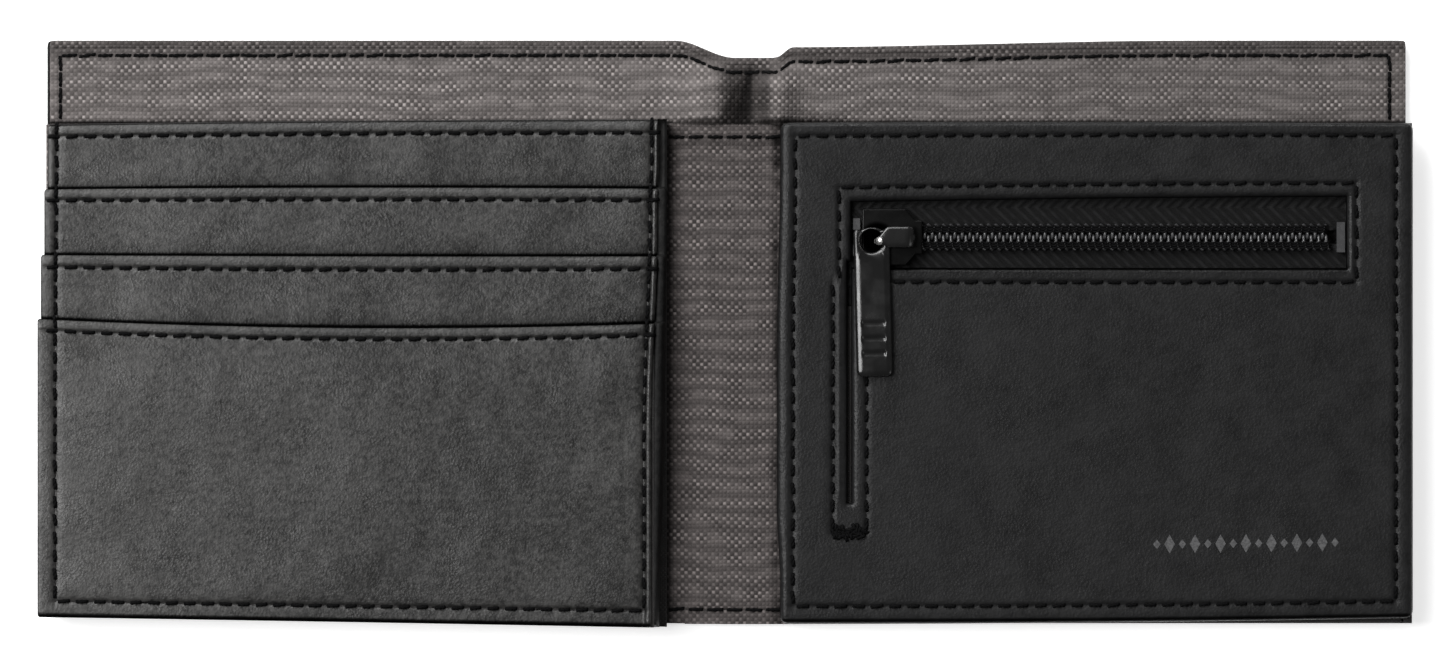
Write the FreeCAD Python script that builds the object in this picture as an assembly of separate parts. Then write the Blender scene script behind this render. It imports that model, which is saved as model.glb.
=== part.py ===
import FreeCAD, Part
import math
import os

from FreeCAD import Vector

# Bifold wallet, lying open on its back. X runs along the open width, Y towards the mouth of the
# banknote compartment, Z up from the outside of the cover. The origin is under the middle of the spine.

# Outline of the open wallet
PANEL_X = 110.0            # outer edge of both pocket panels
SHELL_X = 108.8            # outer edge of the cover and its lining
SHELL_TOP = 47.0
SHELL_BOTTOM = -46.6
PANEL_TOP = 33.7
PANEL_BOTTOM = -47.0       # card panel, which hangs a little over the shell
ZIP_PANEL_BOTTOM = -46.4

# The two fold lines of the spine
HINGE_X = 7.8
HINGE_PLAY = 0.05          # half of the slit between shell pieces at a fold line
PANEL_INNER_X = 9.3        # pocket pieces stop here, clear of the folded spine
DIVIDER_SPINE_X = 6.45

# Layers of the shell, from the outside up
COVER_T = 0.9
FOIL_T = 0.2
STIFFENER_T = 0.4
TEXTILE_T = 0.3
BILL_GAP = 0.9
SLIP_GAP = 0.7
Z_CORE = COVER_T
Z_STIFFENER = Z_CORE + FOIL_T
Z_LINING = Z_STIFFENER + STIFFENER_T
Z_BILL = Z_LINING + TEXTILE_T
Z_DIVIDER = Z_BILL + BILL_GAP
Z_SLIP = Z_DIVIDER + TEXTILE_T
Z_SHEET = Z_SLIP + SLIP_GAP
Z_STACK = Z_SHEET + TEXTILE_T
TURNED_EDGE = 8.0          # leather folded over all round the cover
FOLD = 1.6                 # width of a folded textile edge in a seam

# Card panel: three stepped slots and a full front pocket
CARD_GAP = 0.8             # takes one 0.76 mm card
SLOT_LEATHER_T = 0.3
SLOT_BACKING_T = 0.25      # turned leather at the mouth, thin textile below it
SLOT_TOPS = (33.5, 23.0, 12.2, 2.2)
SLOT_BOTTOMS = (-13.5, -24.0, -34.7, PANEL_BOTTOM)
STRIP_HEIGHT = 15.0        # leather shown and tucked under the next slot
MOUTH_HEM = 5.0
SLOT_T = SLOT_LEATHER_T + SLOT_BACKING_T
SLOT_Z = [Z_STACK + CARD_GAP + i * (CARD_GAP + SLOT_T) for i in range(4)]
FRONT_EXTRA_T = 0.1        # the front pocket's leather is heavier
Z_FRONT = SLOT_Z[3] + SLOT_T + FRONT_EXTRA_T
SIDE_BAND_X = 11.3         # rolled leather edge on the spine side

# Zip pocket
Z_TAPE = 6.0
TAPE_T = 0.4
Z_RIM = Z_TAPE + TAPE_T
RIM_T = 0.8
Z_FACE = Z_RIM + RIM_T
FACE_T = 0.8
Z_FACE_TOP = Z_FACE + FACE_T
WINDOW_X = (20.2, 99.3)
WINDOW_Y = (10.5, 21.1)
WINDOW_RIM = 5.0
SLIT_W = 0.6
SLIT_BOTTOM = -27.1
SLIT_RIM = 4.3
CHAIN_Y = 15.4
TAPE_INNER = 1.0
TAPE_OUTER = 11.0
TAPE_END = 4.4             # tape beyond the window, held by its seam

# Coil, slider and puller
TOOTH_PITCH = 1.2
TOOTH_W = 0.5
TOOTH_H = 1.1
TOOTH_REACH = 0.35         # past the chain line, into the other row
TOOTH_BACK = 1.7
SPREAD = 1.4               # how far the rows part round the slider's post
SLIDER_X = (21.9, 28.8, 30.4, 31.5)
SLIDER_HALF = (4.5, 4.5, 2.7, 2.7)
WALL = 0.6
Z_SLIDER = 4.9
Z_SLIDER_TOP = 8.3
POST_X = (22.1, 23.6, 25.7)
POST_HALF = 0.85
PIVOT = (24.3, 15.1)       # the crown's front leg, which the puller turns about
LEG_R = 0.7
Z_CROWN = 9.5
CROWN_T = 1.1
CROWN_X = (23.6, 25.4, 30.4)
CROWN_HALF = (0.7, 1.7, 1.7)
PULLER_Z = (8.45, 9.3)
PULLER_X = (20.5, 26.3)
PULLER_Y = (-6.9, 17.0)
HOLE = (23.4, 14.8)
HOLE_R = 1.85
PULLER_LEAN = 1.4          # degrees from straight down, as it lies
SLIDE_TRAVEL = 66.0

# Stitches
PITCH = 2.9
STITCH = (2.1, 0.5, 0.15)  # length, width, height over the surface
TOP_SEAM_Y = 44.6
HEM_SEAM_Y = 31.5
BOTTOM_SEAM_Y = -43.6
OUTER_SEAM_X = 107.0
INNER_SEAM_X = 12.0
SLOT_SEAM_DROP = 1.9


def box(x, y, z):
    """Block between two values of each of X, Y and Z."""
    return Part.makeBox(x[1] - x[0], y[1] - y[0], z[1] - z[0], Vector(x[0], y[0], z[0]))


def prism(outline, z):
    """Upright prism of a closed outline of (x, y) points."""
    corners = [Vector(px, py, z[0]) for px, py in outline]
    face = Part.Face(Part.makePolygon(corners + corners[:1]))
    return face.extrude(Vector(0, 0, z[1] - z[0]))


def fused(first, *others):
    """One clean solid out of blocks that touch or overlap."""
    shape = first
    for other in others:
        shape = shape.fuse(other)
    return shape.removeSplitter()


def rounded(solid, corners, radius):
    """Rounds the upright edges that stand at the given (x, y) corners."""
    chosen = []
    for edge in solid.Edges:
        upright = abs(edge.tangentAt(edge.FirstParameter).z) > 0.99
        place = edge.CenterOfMass
        if upright and any(math.hypot(place.x - x, place.y - y) < 0.01 for x, y in corners):
            chosen.append(edge)
    return solid.makeFillet(radius, chosen)


def mirrored(x, side):
    """A span of X on the left (side -1) or right (side 1) half, lowest first."""
    return tuple(sorted(side * value for value in x))


def stitches(start, end, z):
    """Thread stitches in a straight row along X or Y, on a surface at height z."""
    length = math.dist(start, end)
    count = max(1, round(length / PITCH))
    along_x = abs(end[0] - start[0]) > abs(end[1] - start[1])
    half = (STITCH[0] / 2, STITCH[1] / 2) if along_x else (STITCH[1] / 2, STITCH[0] / 2)
    row = []
    for i in range(count):
        t = (i + 0.5) / count
        x = start[0] + t * (end[0] - start[0])
        y = start[1] + t * (end[1] - start[1])
        row.append(box((x - half[0], x + half[0]), (y - half[1], y + half[1]), (z, z + STITCH[2])))
    return row


def save(node, *solids):
    """Writes one sub-part, a single solid or a group of separate ones."""
    shape = solids[0] if len(solids) == 1 else Part.makeCompound(list(solids))
    shape.exportStep(f"parts/{node}.step")


def shell_half(name, side):
    """Cover leather with turned edges, foil, stiffener and lining of one half."""
    span = mirrored((HINGE_X + HINGE_PLAY, SHELL_X), side)
    inside = mirrored((HINGE_X + HINGE_PLAY, SHELL_X - TURNED_EDGE), side)
    tall = (SHELL_BOTTOM, SHELL_TOP)
    low = (SHELL_BOTTOM + TURNED_EDGE, SHELL_TOP - TURNED_EDGE)
    corners = [(side * SHELL_X, SHELL_BOTTOM), (side * SHELL_X, SHELL_TOP)]
    slab = box(span, tall, (0, Z_LINING))
    cover = slab.cut(box(inside, low, (Z_CORE, Z_LINING)))
    save(f"cover_{name}", rounded(cover, corners, 1.2))
    save(f"rfid_foil_{name}", box(inside, low, (Z_CORE, Z_STIFFENER)))
    save(f"stiffener_{name}", box(inside, low, (Z_STIFFENER, Z_LINING)))
    lining = box(span, tall, (Z_LINING, Z_BILL))
    save(f"lining_{name}", rounded(lining, corners, 1.2))


def shell_spine():
    """The flexible middle of the shell, between the two fold lines."""
    edge = HINGE_X - HINGE_PLAY
    span = (-edge, edge)
    tall = (SHELL_BOTTOM, SHELL_TOP)
    low = (SHELL_BOTTOM + TURNED_EDGE, SHELL_TOP - TURNED_EDGE)
    slab = box(span, tall, (0, Z_LINING))
    save("cover_spine", slab.cut(box(span, low, (Z_CORE, Z_LINING))))
    save("rfid_foil_spine", box(span, low, (Z_CORE, Z_STIFFENER)))
    save("spine_interlining", box(span, low, (Z_STIFFENER, Z_LINING)))
    save("lining_spine", box(span, tall, (Z_LINING, Z_BILL)))


def dividers():
    """Front wall of the banknote compartment and the folded edges that close it below."""
    tall = (SHELL_BOTTOM, PANEL_TOP - 0.2)
    foot = (SHELL_BOTTOM, SHELL_BOTTOM + FOLD)
    for name, side in (("left", -1), ("right", 1)):
        span = mirrored((PANEL_INNER_X, SHELL_X), side)
        outer = mirrored((SHELL_X - FOLD, SHELL_X), side)
        save(f"divider_{name}", box(span, tall, (Z_DIVIDER, Z_SLIP)))
        bottom = box(mirrored((PANEL_INNER_X, SHELL_X - FOLD), side), foot, (Z_BILL, Z_DIVIDER))
        flank = box(outer, tall, (Z_BILL, Z_DIVIDER))
        save(f"bill_pocket_folds_{name}", bottom, flank)
    middle = (-DIVIDER_SPINE_X, DIVIDER_SPINE_X)
    save("divider_spine", box(middle, tall, (Z_DIVIDER, Z_SLIP)))
    save("bill_pocket_fold_spine", box(middle, foot, (Z_BILL, Z_DIVIDER)))


def slip_pocket_folds(name, side):
    """Folded edges round the slip pocket behind a panel, which is open to the spine."""
    z = (Z_SLIP, Z_SHEET)
    top = (PANEL_TOP - 0.2 - FOLD, PANEL_TOP - 0.2)
    foot = (SHELL_BOTTOM, SHELL_BOTTOM + FOLD)
    run = mirrored((PANEL_INNER_X, SHELL_X - FOLD), side)
    outer = mirrored((SHELL_X - FOLD, SHELL_X), side)
    flank = box(outer, (foot[0], top[1]), z)
    save(f"slip_pocket_folds_{name}", box(run, top, z), box(run, foot, z), flank)


def slot_faces():
    """Leather faces of the slots, with turned mouths, and the thin textile below each."""
    span = (-PANEL_X, -SIDE_BAND_X)
    for i, (top, bottom, z) in enumerate(zip(SLOT_TOPS, SLOT_BOTTOMS, SLOT_Z)):
        is_front = i == 3
        name = "front_pocket" if is_front else f"card_slot_{i + 1}"
        end = PANEL_BOTTOM if is_front else top - STRIP_HEIGHT
        z_leather = z + SLOT_BACKING_T
        z_top = z + SLOT_T + (FRONT_EXTRA_T if is_front else 0)
        face = box(span, (end, top), (z_leather, z_top))
        hem = box(span, (top - MOUTH_HEM, top), (z, z_leather))
        save(name, fused(face, hem))
        save(f"{name}_lining", box(span, (bottom, top - MOUTH_HEM), (z, z_leather)))


def slot_folds():
    """Folded textile edges that close each slot at both sides and at its bottom."""
    outer = (-PANEL_X, -PANEL_X + FOLD)
    inner = (-SIDE_BAND_X - FOLD, -SIDE_BAND_X)
    for i, (top, bottom, z) in enumerate(zip(SLOT_TOPS, SLOT_BOTTOMS, SLOT_Z)):
        rests = [(bottom + FOLD, top, Z_STACK)]
        if i > 0:
            strip_end = SLOT_TOPS[i - 1] - STRIP_HEIGHT
            lining_end = SLOT_BOTTOMS[i - 1]
            below = SLOT_Z[i - 1]
            rests = [
                (strip_end, top, below + SLOT_T),
                (lining_end, strip_end, below + SLOT_BACKING_T),
                (bottom + FOLD, lining_end, Z_STACK),
            ]
        blocks = [box((outer[0], inner[1]), (bottom, bottom + FOLD), (Z_STACK, z))]
        for low, high, floor in rests:
            blocks.append(box(outer, (low, high), (floor, z)))
            blocks.append(box(inner, (low, high), (floor, z)))
        name = "front_pocket_folds" if i == 3 else f"card_slot_{i + 1}_folds"
        save(name, *blocks)


def card_panel():
    """Back sheet, slots, front pocket and the rolled leather edge beside the spine."""
    back = box((-PANEL_X, -PANEL_INNER_X), (PANEL_BOTTOM, PANEL_TOP), (Z_SHEET, Z_STACK))
    save("card_panel_back", back)
    slot_faces()
    slot_folds()
    band_x = (-SIDE_BAND_X, -PANEL_INNER_X)
    lows = SLOT_TOPS[1:] + (PANEL_BOTTOM,)
    highs = (PANEL_TOP,) + SLOT_TOPS[1:]
    tops = [z + SLOT_T for z in SLOT_Z[:3]] + [Z_FRONT]
    steps = [box(band_x, (low, high), (Z_STACK, top)) for low, high, top in zip(lows, highs, tops)]
    save("card_panel_side_edge", fused(*steps))


def zip_panel():
    """Leather face of the zip pocket, with its turned edges, the zip window and the slit."""
    span = (PANEL_INNER_X, PANEL_X)
    tall = (ZIP_PANEL_BOTTOM, PANEL_TOP)
    turned = (Z_RIM, Z_FACE_TOP)
    frame = box(span, tall, turned)
    well_x = (span[0] + 4.0, span[1] - 4.0)
    well_y = (tall[0] + 4.0, tall[1] - 4.0)
    frame = frame.cut(box(well_x, well_y, (Z_RIM, Z_FACE)))
    slit_x = (WINDOW_X[0] - SLIT_W, WINDOW_X[0])
    rim_x = (WINDOW_X[0] - WINDOW_RIM, WINDOW_X[1] + WINDOW_RIM)
    rim_y = (WINDOW_Y[0] - WINDOW_RIM, WINDOW_Y[1] + WINDOW_RIM)
    window_rim = box(rim_x, rim_y, turned)
    slit_rim = box(
        (slit_x[0] - SLIT_RIM, slit_x[1] + SLIT_RIM), (SLIT_BOTTOM - SLIT_RIM, WINDOW_Y[0]), turned
    )
    solid = fused(frame, window_rim, slit_rim)
    past = (Z_RIM - 1, Z_FACE_TOP + 1)
    solid = solid.cut(box(WINDOW_X, WINDOW_Y, past))
    solid = solid.cut(box(slit_x, (SLIT_BOTTOM, CHAIN_Y), past))
    corners = [(x, y) for x in span for y in tall]
    save("zip_panel", rounded(solid.removeSplitter(), corners, 1.0))
    facing_x = (slit_x[0] - SLIT_RIM, slit_x[1] + SLIT_RIM)
    facing_y = (SLIT_BOTTOM - SLIT_RIM, CHAIN_Y - TAPE_OUTER)
    save("slit_facing", box(facing_x, facing_y, (Z_RIM - TEXTILE_T, Z_RIM)))


def zip_pocket():
    """Back sheet of the zip pocket and the folded edges that join it to the leather face."""
    span = (PANEL_INNER_X, PANEL_X)
    tall = (ZIP_PANEL_BOTTOM, PANEL_TOP)
    save("zip_pocket_back", box(span, tall, (Z_SHEET, Z_STACK)))
    z = (Z_STACK, Z_RIM)
    ends = [
        box((span[0], span[0] + FOLD), tall, z),
        box((span[1] - FOLD, span[1]), tall, z),
    ]
    run = (span[0] + FOLD, span[1] - FOLD)
    for y in (tall[0], tall[1] - FOLD):
        ends.append(box(run, (y, y + FOLD), z))
    save("zip_pocket_folds", *ends)


def tooth(x, side, shift):
    """One turn of the coil, an eight-sided bar across the edge of its tape."""
    bevel = TOOTH_W / 4
    half = TOOTH_W / 2
    z0, z1 = Z_RIM, Z_RIM + TOOTH_H
    section = [
        (x - half, z0 + bevel), (x - bevel, z0), (x + bevel, z0), (x + half, z0 + bevel),
        (x + half, z1 - bevel), (x + bevel, z1), (x - bevel, z1), (x - half, z1 - bevel),
    ]
    start = CHAIN_Y + side * (shift - TOOTH_REACH)
    corners = [Vector(px, start, pz) for px, pz in section]
    face = Part.Face(Part.makePolygon(corners + corners[:1]))
    return face.extrude(Vector(0, side * (TOOTH_BACK + TOOTH_REACH), 0))


def parting(x):
    """How far a coil row stands off the closed chain at x, inside the slider."""
    start, end = POST_X[2], SLIDER_X[2]
    t = min(1.0, max(0.0, (end - x) / (end - start)))
    return SPREAD * (3 * t ** 2 - 2 * t ** 3)


def zip_chain():
    """Two tapes, the two coil rows, and the stops at both ends."""
    tape_x = (WINDOW_X[0] - TAPE_END, WINDOW_X[1] + TAPE_END)
    stop_x = (WINDOW_X[0] + 0.3, SLIDER_X[0] - 0.3)
    end_x = (SLIDER_X[3] + SLIDE_TRAVEL + 0.3, WINDOW_X[1] - 0.2)
    first = SLIDER_X[0] + 0.4
    count = int((end_x[0] - 0.6 - first) / TOOTH_PITCH)
    top_stops = []
    for name, side in (("upper", 1), ("lower", -1)):
        tape_y = sorted((CHAIN_Y + side * TAPE_INNER, CHAIN_Y + side * TAPE_OUTER))
        save(f"zip_tape_{name}", box(tape_x, tape_y, (Z_TAPE, Z_RIM)))
        offset = 0 if side > 0 else TOOTH_PITCH / 2
        places = [first + offset + i * TOOTH_PITCH for i in range(count)]
        save(f"zip_teeth_{name}", *[tooth(x, side, parting(x)) for x in places])
        stop_y = sorted((CHAIN_Y + side * 1.2, CHAIN_Y + side * 3.0))
        top_stops.append(box(stop_x, stop_y, (Z_RIM, Z_RIM + TOOTH_H)))
    save("zip_top_stops", *top_stops)
    save("zip_bottom_stop", box(end_x, (CHAIN_Y - 2.4, CHAIN_Y + 2.4), (Z_RIM, Z_RIM + TOOTH_H)))


def slider_outline(inset, reach):
    """Plan of the slider, wide at its nose, moved in at the sides and out at the ends."""
    xs = [SLIDER_X[0] - reach, SLIDER_X[1], SLIDER_X[2], SLIDER_X[3] + reach]
    upper = [(x, CHAIN_Y + half - inset) for x, half in zip(xs, SLIDER_HALF)]
    lower = [(x, CHAIN_Y - half + inset) for x, half in zip(xs, SLIDER_HALF)]
    return upper + lower[::-1]


def slider_body():
    """Top and bottom plates with side flanges, joined by the post at the nose."""
    z_under = Z_TAPE - 0.15
    z_over = Z_RIM + 0.15
    top = prism(slider_outline(0, 0), (z_over, Z_SLIDER_TOP))
    top = top.cut(prism(slider_outline(WALL, 1), (z_over, Z_SLIDER_TOP - WALL)))
    bottom = prism(slider_outline(0, 0), (Z_SLIDER, z_under))
    bottom = bottom.cut(prism(slider_outline(WALL, 1), (Z_SLIDER + WALL, z_under)))
    diamond = [
        (POST_X[0], CHAIN_Y), (POST_X[1], CHAIN_Y - POST_HALF),
        (POST_X[2], CHAIN_Y), (POST_X[1], CHAIN_Y + POST_HALF),
    ]
    post = prism(diamond, (Z_SLIDER + WALL, Z_SLIDER_TOP - WALL))
    solid = fused(top, bottom, post)
    rim = [e for e in solid.Edges if min(v.Z for v in e.Vertexes) > Z_SLIDER_TOP - 0.01]
    save("zip_slider_body", solid.makeFillet(0.25, rim))


def slider_crown():
    """Bridge over the slider that holds the puller: a round front leg, a bar and a rear leg."""
    upper = [(x, CHAIN_Y + half) for x, half in zip(CROWN_X, CROWN_HALF)]
    lower = [(x, CHAIN_Y - half) for x, half in zip(CROWN_X, CROWN_HALF)]
    bar = prism(upper + lower[::-1], (Z_CROWN, Z_CROWN + CROWN_T))
    centre = Vector(PIVOT[0], PIVOT[1], Z_SLIDER_TOP)
    front = Part.makeCylinder(LEG_R, Z_CROWN + 0.6 - Z_SLIDER_TOP, centre)
    rear_x = (CROWN_X[2] - 1.2, CROWN_X[2])
    rear_y = (CHAIN_Y - CROWN_HALF[2], CHAIN_Y + CROWN_HALF[2])
    rear = box(rear_x, rear_y, (Z_SLIDER_TOP, Z_CROWN))
    save("zip_slider_crown", fused(bar, front, rear))


def puller():
    """Flat pull tab with a round eye, bevelled sides and three grip grooves."""
    plate = box(PULLER_X, PULLER_Y, PULLER_Z)
    plate = rounded(plate, [(x, PULLER_Y[1]) for x in PULLER_X], 1.3)
    plate = rounded(plate, [(x, PULLER_Y[0]) for x in PULLER_X], 0.4)
    top_edges = [e for e in plate.Edges if min(v.Z for v in e.Vertexes) > PULLER_Z[1] - 0.01]
    plate = plate.makeChamfer(0.25, top_edges)
    eye = Part.makeCylinder(HOLE_R, 4, Vector(HOLE[0], HOLE[1], PULLER_Z[0] - 1))
    plate = plate.cut(eye)
    middle = sum(PULLER_X) / 2
    for i in range(3):
        y = -3.6 + 2.4 * i
        plate = plate.cut(box((middle - 1.7, middle + 1.7), (y, y + 0.9), (PULLER_Z[1] - 0.2, 20)))
    plate.rotate(Vector(PIVOT[0], PIVOT[1], 0), Vector(0, 0, 1), PULLER_LEAN)
    save("zip_puller", plate)


def shell_seams():
    """Seam along the mouth of the banknote compartment and down its two ends."""
    for name, side in (("left", -1), ("right", 1)):
        corner = (side * (OUTER_SEAM_X - 0.4), TOP_SEAM_Y)
        row = stitches((side * (PANEL_INNER_X + 0.3), TOP_SEAM_Y), corner, Z_BILL)
        row += stitches((corner[0], corner[1] - 1), (corner[0], PANEL_TOP + 0.6), Z_BILL)
        save(f"shell_stitching_{name}", *row)
    edge = HINGE_X - 0.6
    rows = stitches((-edge, TOP_SEAM_Y), (edge, TOP_SEAM_Y), Z_BILL)
    reach = DIVIDER_SPINE_X - 0.1
    for y in (HEM_SEAM_Y, BOTTOM_SEAM_Y):
        rows += stitches((-reach, y), (reach, y), Z_SLIP)
    save("spine_stitching", *rows)


def card_panel_seams():
    """Seam under each slot mouth, and the seams down both sides and along the bottom."""
    tops = [z + SLOT_T for z in SLOT_Z[:3]] + [Z_FRONT]
    mouths = []
    rim = []
    for i, (top, z) in enumerate(zip(SLOT_TOPS, tops)):
        y = top - SLOT_SEAM_DROP
        mouths += stitches((-OUTER_SEAM_X + 1, y), (-INNER_SEAM_X - 1, y), z)
        low = BOTTOM_SEAM_Y if i == 3 else SLOT_TOPS[i + 1]
        for x in (-OUTER_SEAM_X, -INNER_SEAM_X):
            rim += stitches((x, y), (x, low + 0.4), z)
    rim += stitches(
        (-OUTER_SEAM_X + 1, BOTTOM_SEAM_Y), (-INNER_SEAM_X - 1, BOTTOM_SEAM_Y), Z_FRONT
    )
    save("card_slot_stitching", *mouths)
    save("card_panel_stitching", *rim)


def zip_panel_seams():
    """Seams round the panel, round the zip window and down both sides of the slit."""
    inner, outer = INNER_SEAM_X - 0.8, OUTER_SEAM_X + 0.2
    rim = []
    for y in (HEM_SEAM_Y, BOTTOM_SEAM_Y):
        rim += stitches((inner + 1, y), (outer - 1, y), Z_FACE_TOP)
    for x in (inner, outer):
        rim += stitches((x, BOTTOM_SEAM_Y), (x, HEM_SEAM_Y), Z_FACE_TOP)
    save("zip_panel_stitching", *rim)
    left, right = WINDOW_X[0] - 2.0, WINDOW_X[1] + 1.6
    low, high = WINDOW_Y[0] - 2.3, WINDOW_Y[1] + 2.3
    slit_right = WINDOW_X[0] + 2.4
    window = stitches((left + 1, high), (right - 1, high), Z_FACE_TOP)
    window += stitches((right, high), (right, low), Z_FACE_TOP)
    window += stitches((slit_right + 1, low), (right - 1, low), Z_FACE_TOP)
    window += stitches((left, high), (left, low), Z_FACE_TOP)
    save("zip_window_stitching", *window)
    foot = SLIT_BOTTOM - 4.0
    slit = stitches((left - 1, low), (left - 1, foot), Z_FACE_TOP)
    slit += stitches((slit_right, low), (slit_right, foot), Z_FACE_TOP)
    slit += stitches((left - 1, foot - 0.8), (slit_right, foot - 0.8), Z_FACE_TOP)
    save("slit_stitching", *slit)


os.makedirs("parts", exist_ok=True)
for half, sign in (("left", -1), ("right", 1)):
    shell_half(half, sign)
    slip_pocket_folds(half, sign)
shell_spine()
dividers()
card_panel()
zip_panel()
zip_pocket()
zip_chain()
slider_body()
slider_crown()
puller()
shell_seams()
card_panel_seams()
zip_panel_seams()
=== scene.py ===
import math
from collections import namedtuple

import bpy
import numpy as np
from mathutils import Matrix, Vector


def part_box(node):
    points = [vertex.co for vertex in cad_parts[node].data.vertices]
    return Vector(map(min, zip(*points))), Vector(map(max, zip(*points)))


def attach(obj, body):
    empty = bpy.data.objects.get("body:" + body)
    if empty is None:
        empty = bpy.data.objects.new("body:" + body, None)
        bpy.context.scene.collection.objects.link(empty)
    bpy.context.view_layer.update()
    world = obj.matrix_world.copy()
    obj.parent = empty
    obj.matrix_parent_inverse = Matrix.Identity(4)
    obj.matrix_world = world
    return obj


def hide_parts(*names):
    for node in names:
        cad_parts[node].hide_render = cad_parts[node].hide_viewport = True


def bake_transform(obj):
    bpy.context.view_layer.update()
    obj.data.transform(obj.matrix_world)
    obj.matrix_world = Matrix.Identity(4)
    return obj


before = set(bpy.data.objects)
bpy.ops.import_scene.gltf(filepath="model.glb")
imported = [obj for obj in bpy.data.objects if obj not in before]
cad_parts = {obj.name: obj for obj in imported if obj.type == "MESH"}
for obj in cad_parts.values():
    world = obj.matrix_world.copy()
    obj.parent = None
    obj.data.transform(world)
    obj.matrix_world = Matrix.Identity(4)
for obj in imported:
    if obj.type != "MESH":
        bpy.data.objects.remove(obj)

Corner = namedtuple("Corner", "x y z")

MM = 0.001                # lengths in this script are in mm, and Blender's are in metres
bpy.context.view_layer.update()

# Edges
LEATHER_ROLL = 0.9        # how far in a turned leather edge is rounded
CLOTH_ROLL = 0.15
ROLL_LINES = (0, 0.04, 0.15, 0.34, 0.62, 1)   # grid lines over a rounded edge, as shares of its roll
RIM_SHARE = 0.35          # height of an edge's outermost line, as a share of the thickness
EDGE_GAP = 0.02 + 1e-6    # grid lines nearer to an edge than this are left out
LINE_GAP = 0.004          # and so are those nearer to each other
STEEP_EDGE = EDGE_GAP + 1e-6   # where the cover has one more line, in from its outer edge

# Seams
GROOVE_WIDTH = 0.38
GROOVE_LINES = (-2, -1, -0.45, 0, 0.45, 1, 2)  # grid lines across a seam, in groove widths
GROOVE_DEPTH = 0.3
PITCH = 2.9
THREAD_R = 0.2
PLY_OFFSET = 0.13
STITCH_LENGTH = 2.05
LONG_STITCH = 2.95        # on the cloth, where the stitches nearly meet
CLOTH_SINK = 0.14         # and are pulled down into it
SLANT = math.radians(5)
CORNER_GAP = 3.2          # a row that stops this near to a row across it is sewn on to meet it

# Bends at the two fold lines of the spine
BEND_REACH = 3.2
DIVIDER_BEND_REACH = 2.4

# The zip
TAPE_END = 4.4            # tape beyond each end of the window
WINDOW_BELOW = 4.9        # window edges from the line of the chain
WINDOW_ABOVE = 5.7
SLIT_WIDTH = 0.6
SLIT_RIM = 4.3            # cloth beyond the slit, below it
FACING_TURN = 1.0         # edge of that cloth turned under on each side


def smooth(t):
    """0 below 0, 1 above 1, and a smooth step between them."""
    t = np.clip(t, 0, 1)
    return t * t * (3 - 2 * t)


def ramp(value, start, end):
    """0 at start, 1 at end, smooth between them. end may be the lower of the two."""
    return smooth((value - start) / (end - start))


def hump(value, centre, width):
    """1 at centre, and nearly 0 past one and a half widths."""
    return np.exp(-(((value - centre) / width) ** 2))


def rounding(distance, roll):
    """Share of its full height that a rounded edge has at a distance in from the edge."""
    return np.sqrt(1 - (1 - np.clip(distance / roll, 0, 1)) ** 2)


def ripple(seed, length, size):
    """A gentle unevenness, about length from crest to crest and size high."""
    draw = np.random.default_rng(seed)
    waves = []
    for _ in range(9):
        turn = draw.uniform(0, math.pi)
        pace = 2 * math.pi / (length * draw.uniform(0.6, 1.8))
        waves.append((math.cos(turn) * pace, math.sin(turn) * pace, draw.uniform(0, 2 * math.pi)))

    def height(x, y):
        total = sum(np.sin(x * kx + y * ky + phase) for kx, ky, phase in waves)
        return size * total / 4

    return height


# What the frame holds


def box(node):
    """Lowest and highest corner of a CAD node."""
    return [Corner(*(float(c) / MM for c in corner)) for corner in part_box(node)]


def solids_of(node):
    """(lowest, highest) corner of each solid in a CAD node. A solid ends where its surface closes."""
    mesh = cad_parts[node].data
    points = np.array([v.co for v in mesh.vertices], float) / MM
    places, merged = np.unique(np.round(points, 3), axis=0, return_inverse=True)
    merged = merged.reshape(-1)
    solids, corners, open_edges = [], set(), set()
    for polygon in mesh.polygons:
        loop = [int(merged[v]) for v in polygon.vertices]
        corners.update(loop)
        for edge in zip(loop, loop[1:] + loop[:1]):
            open_edges ^= {edge[::-1]} if edge[::-1] in open_edges else {edge}
        if not open_edges:
            own = places[sorted(corners)]
            solids.append((own.min(0), own.max(0)))
            corners = set()
    return solids


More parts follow.
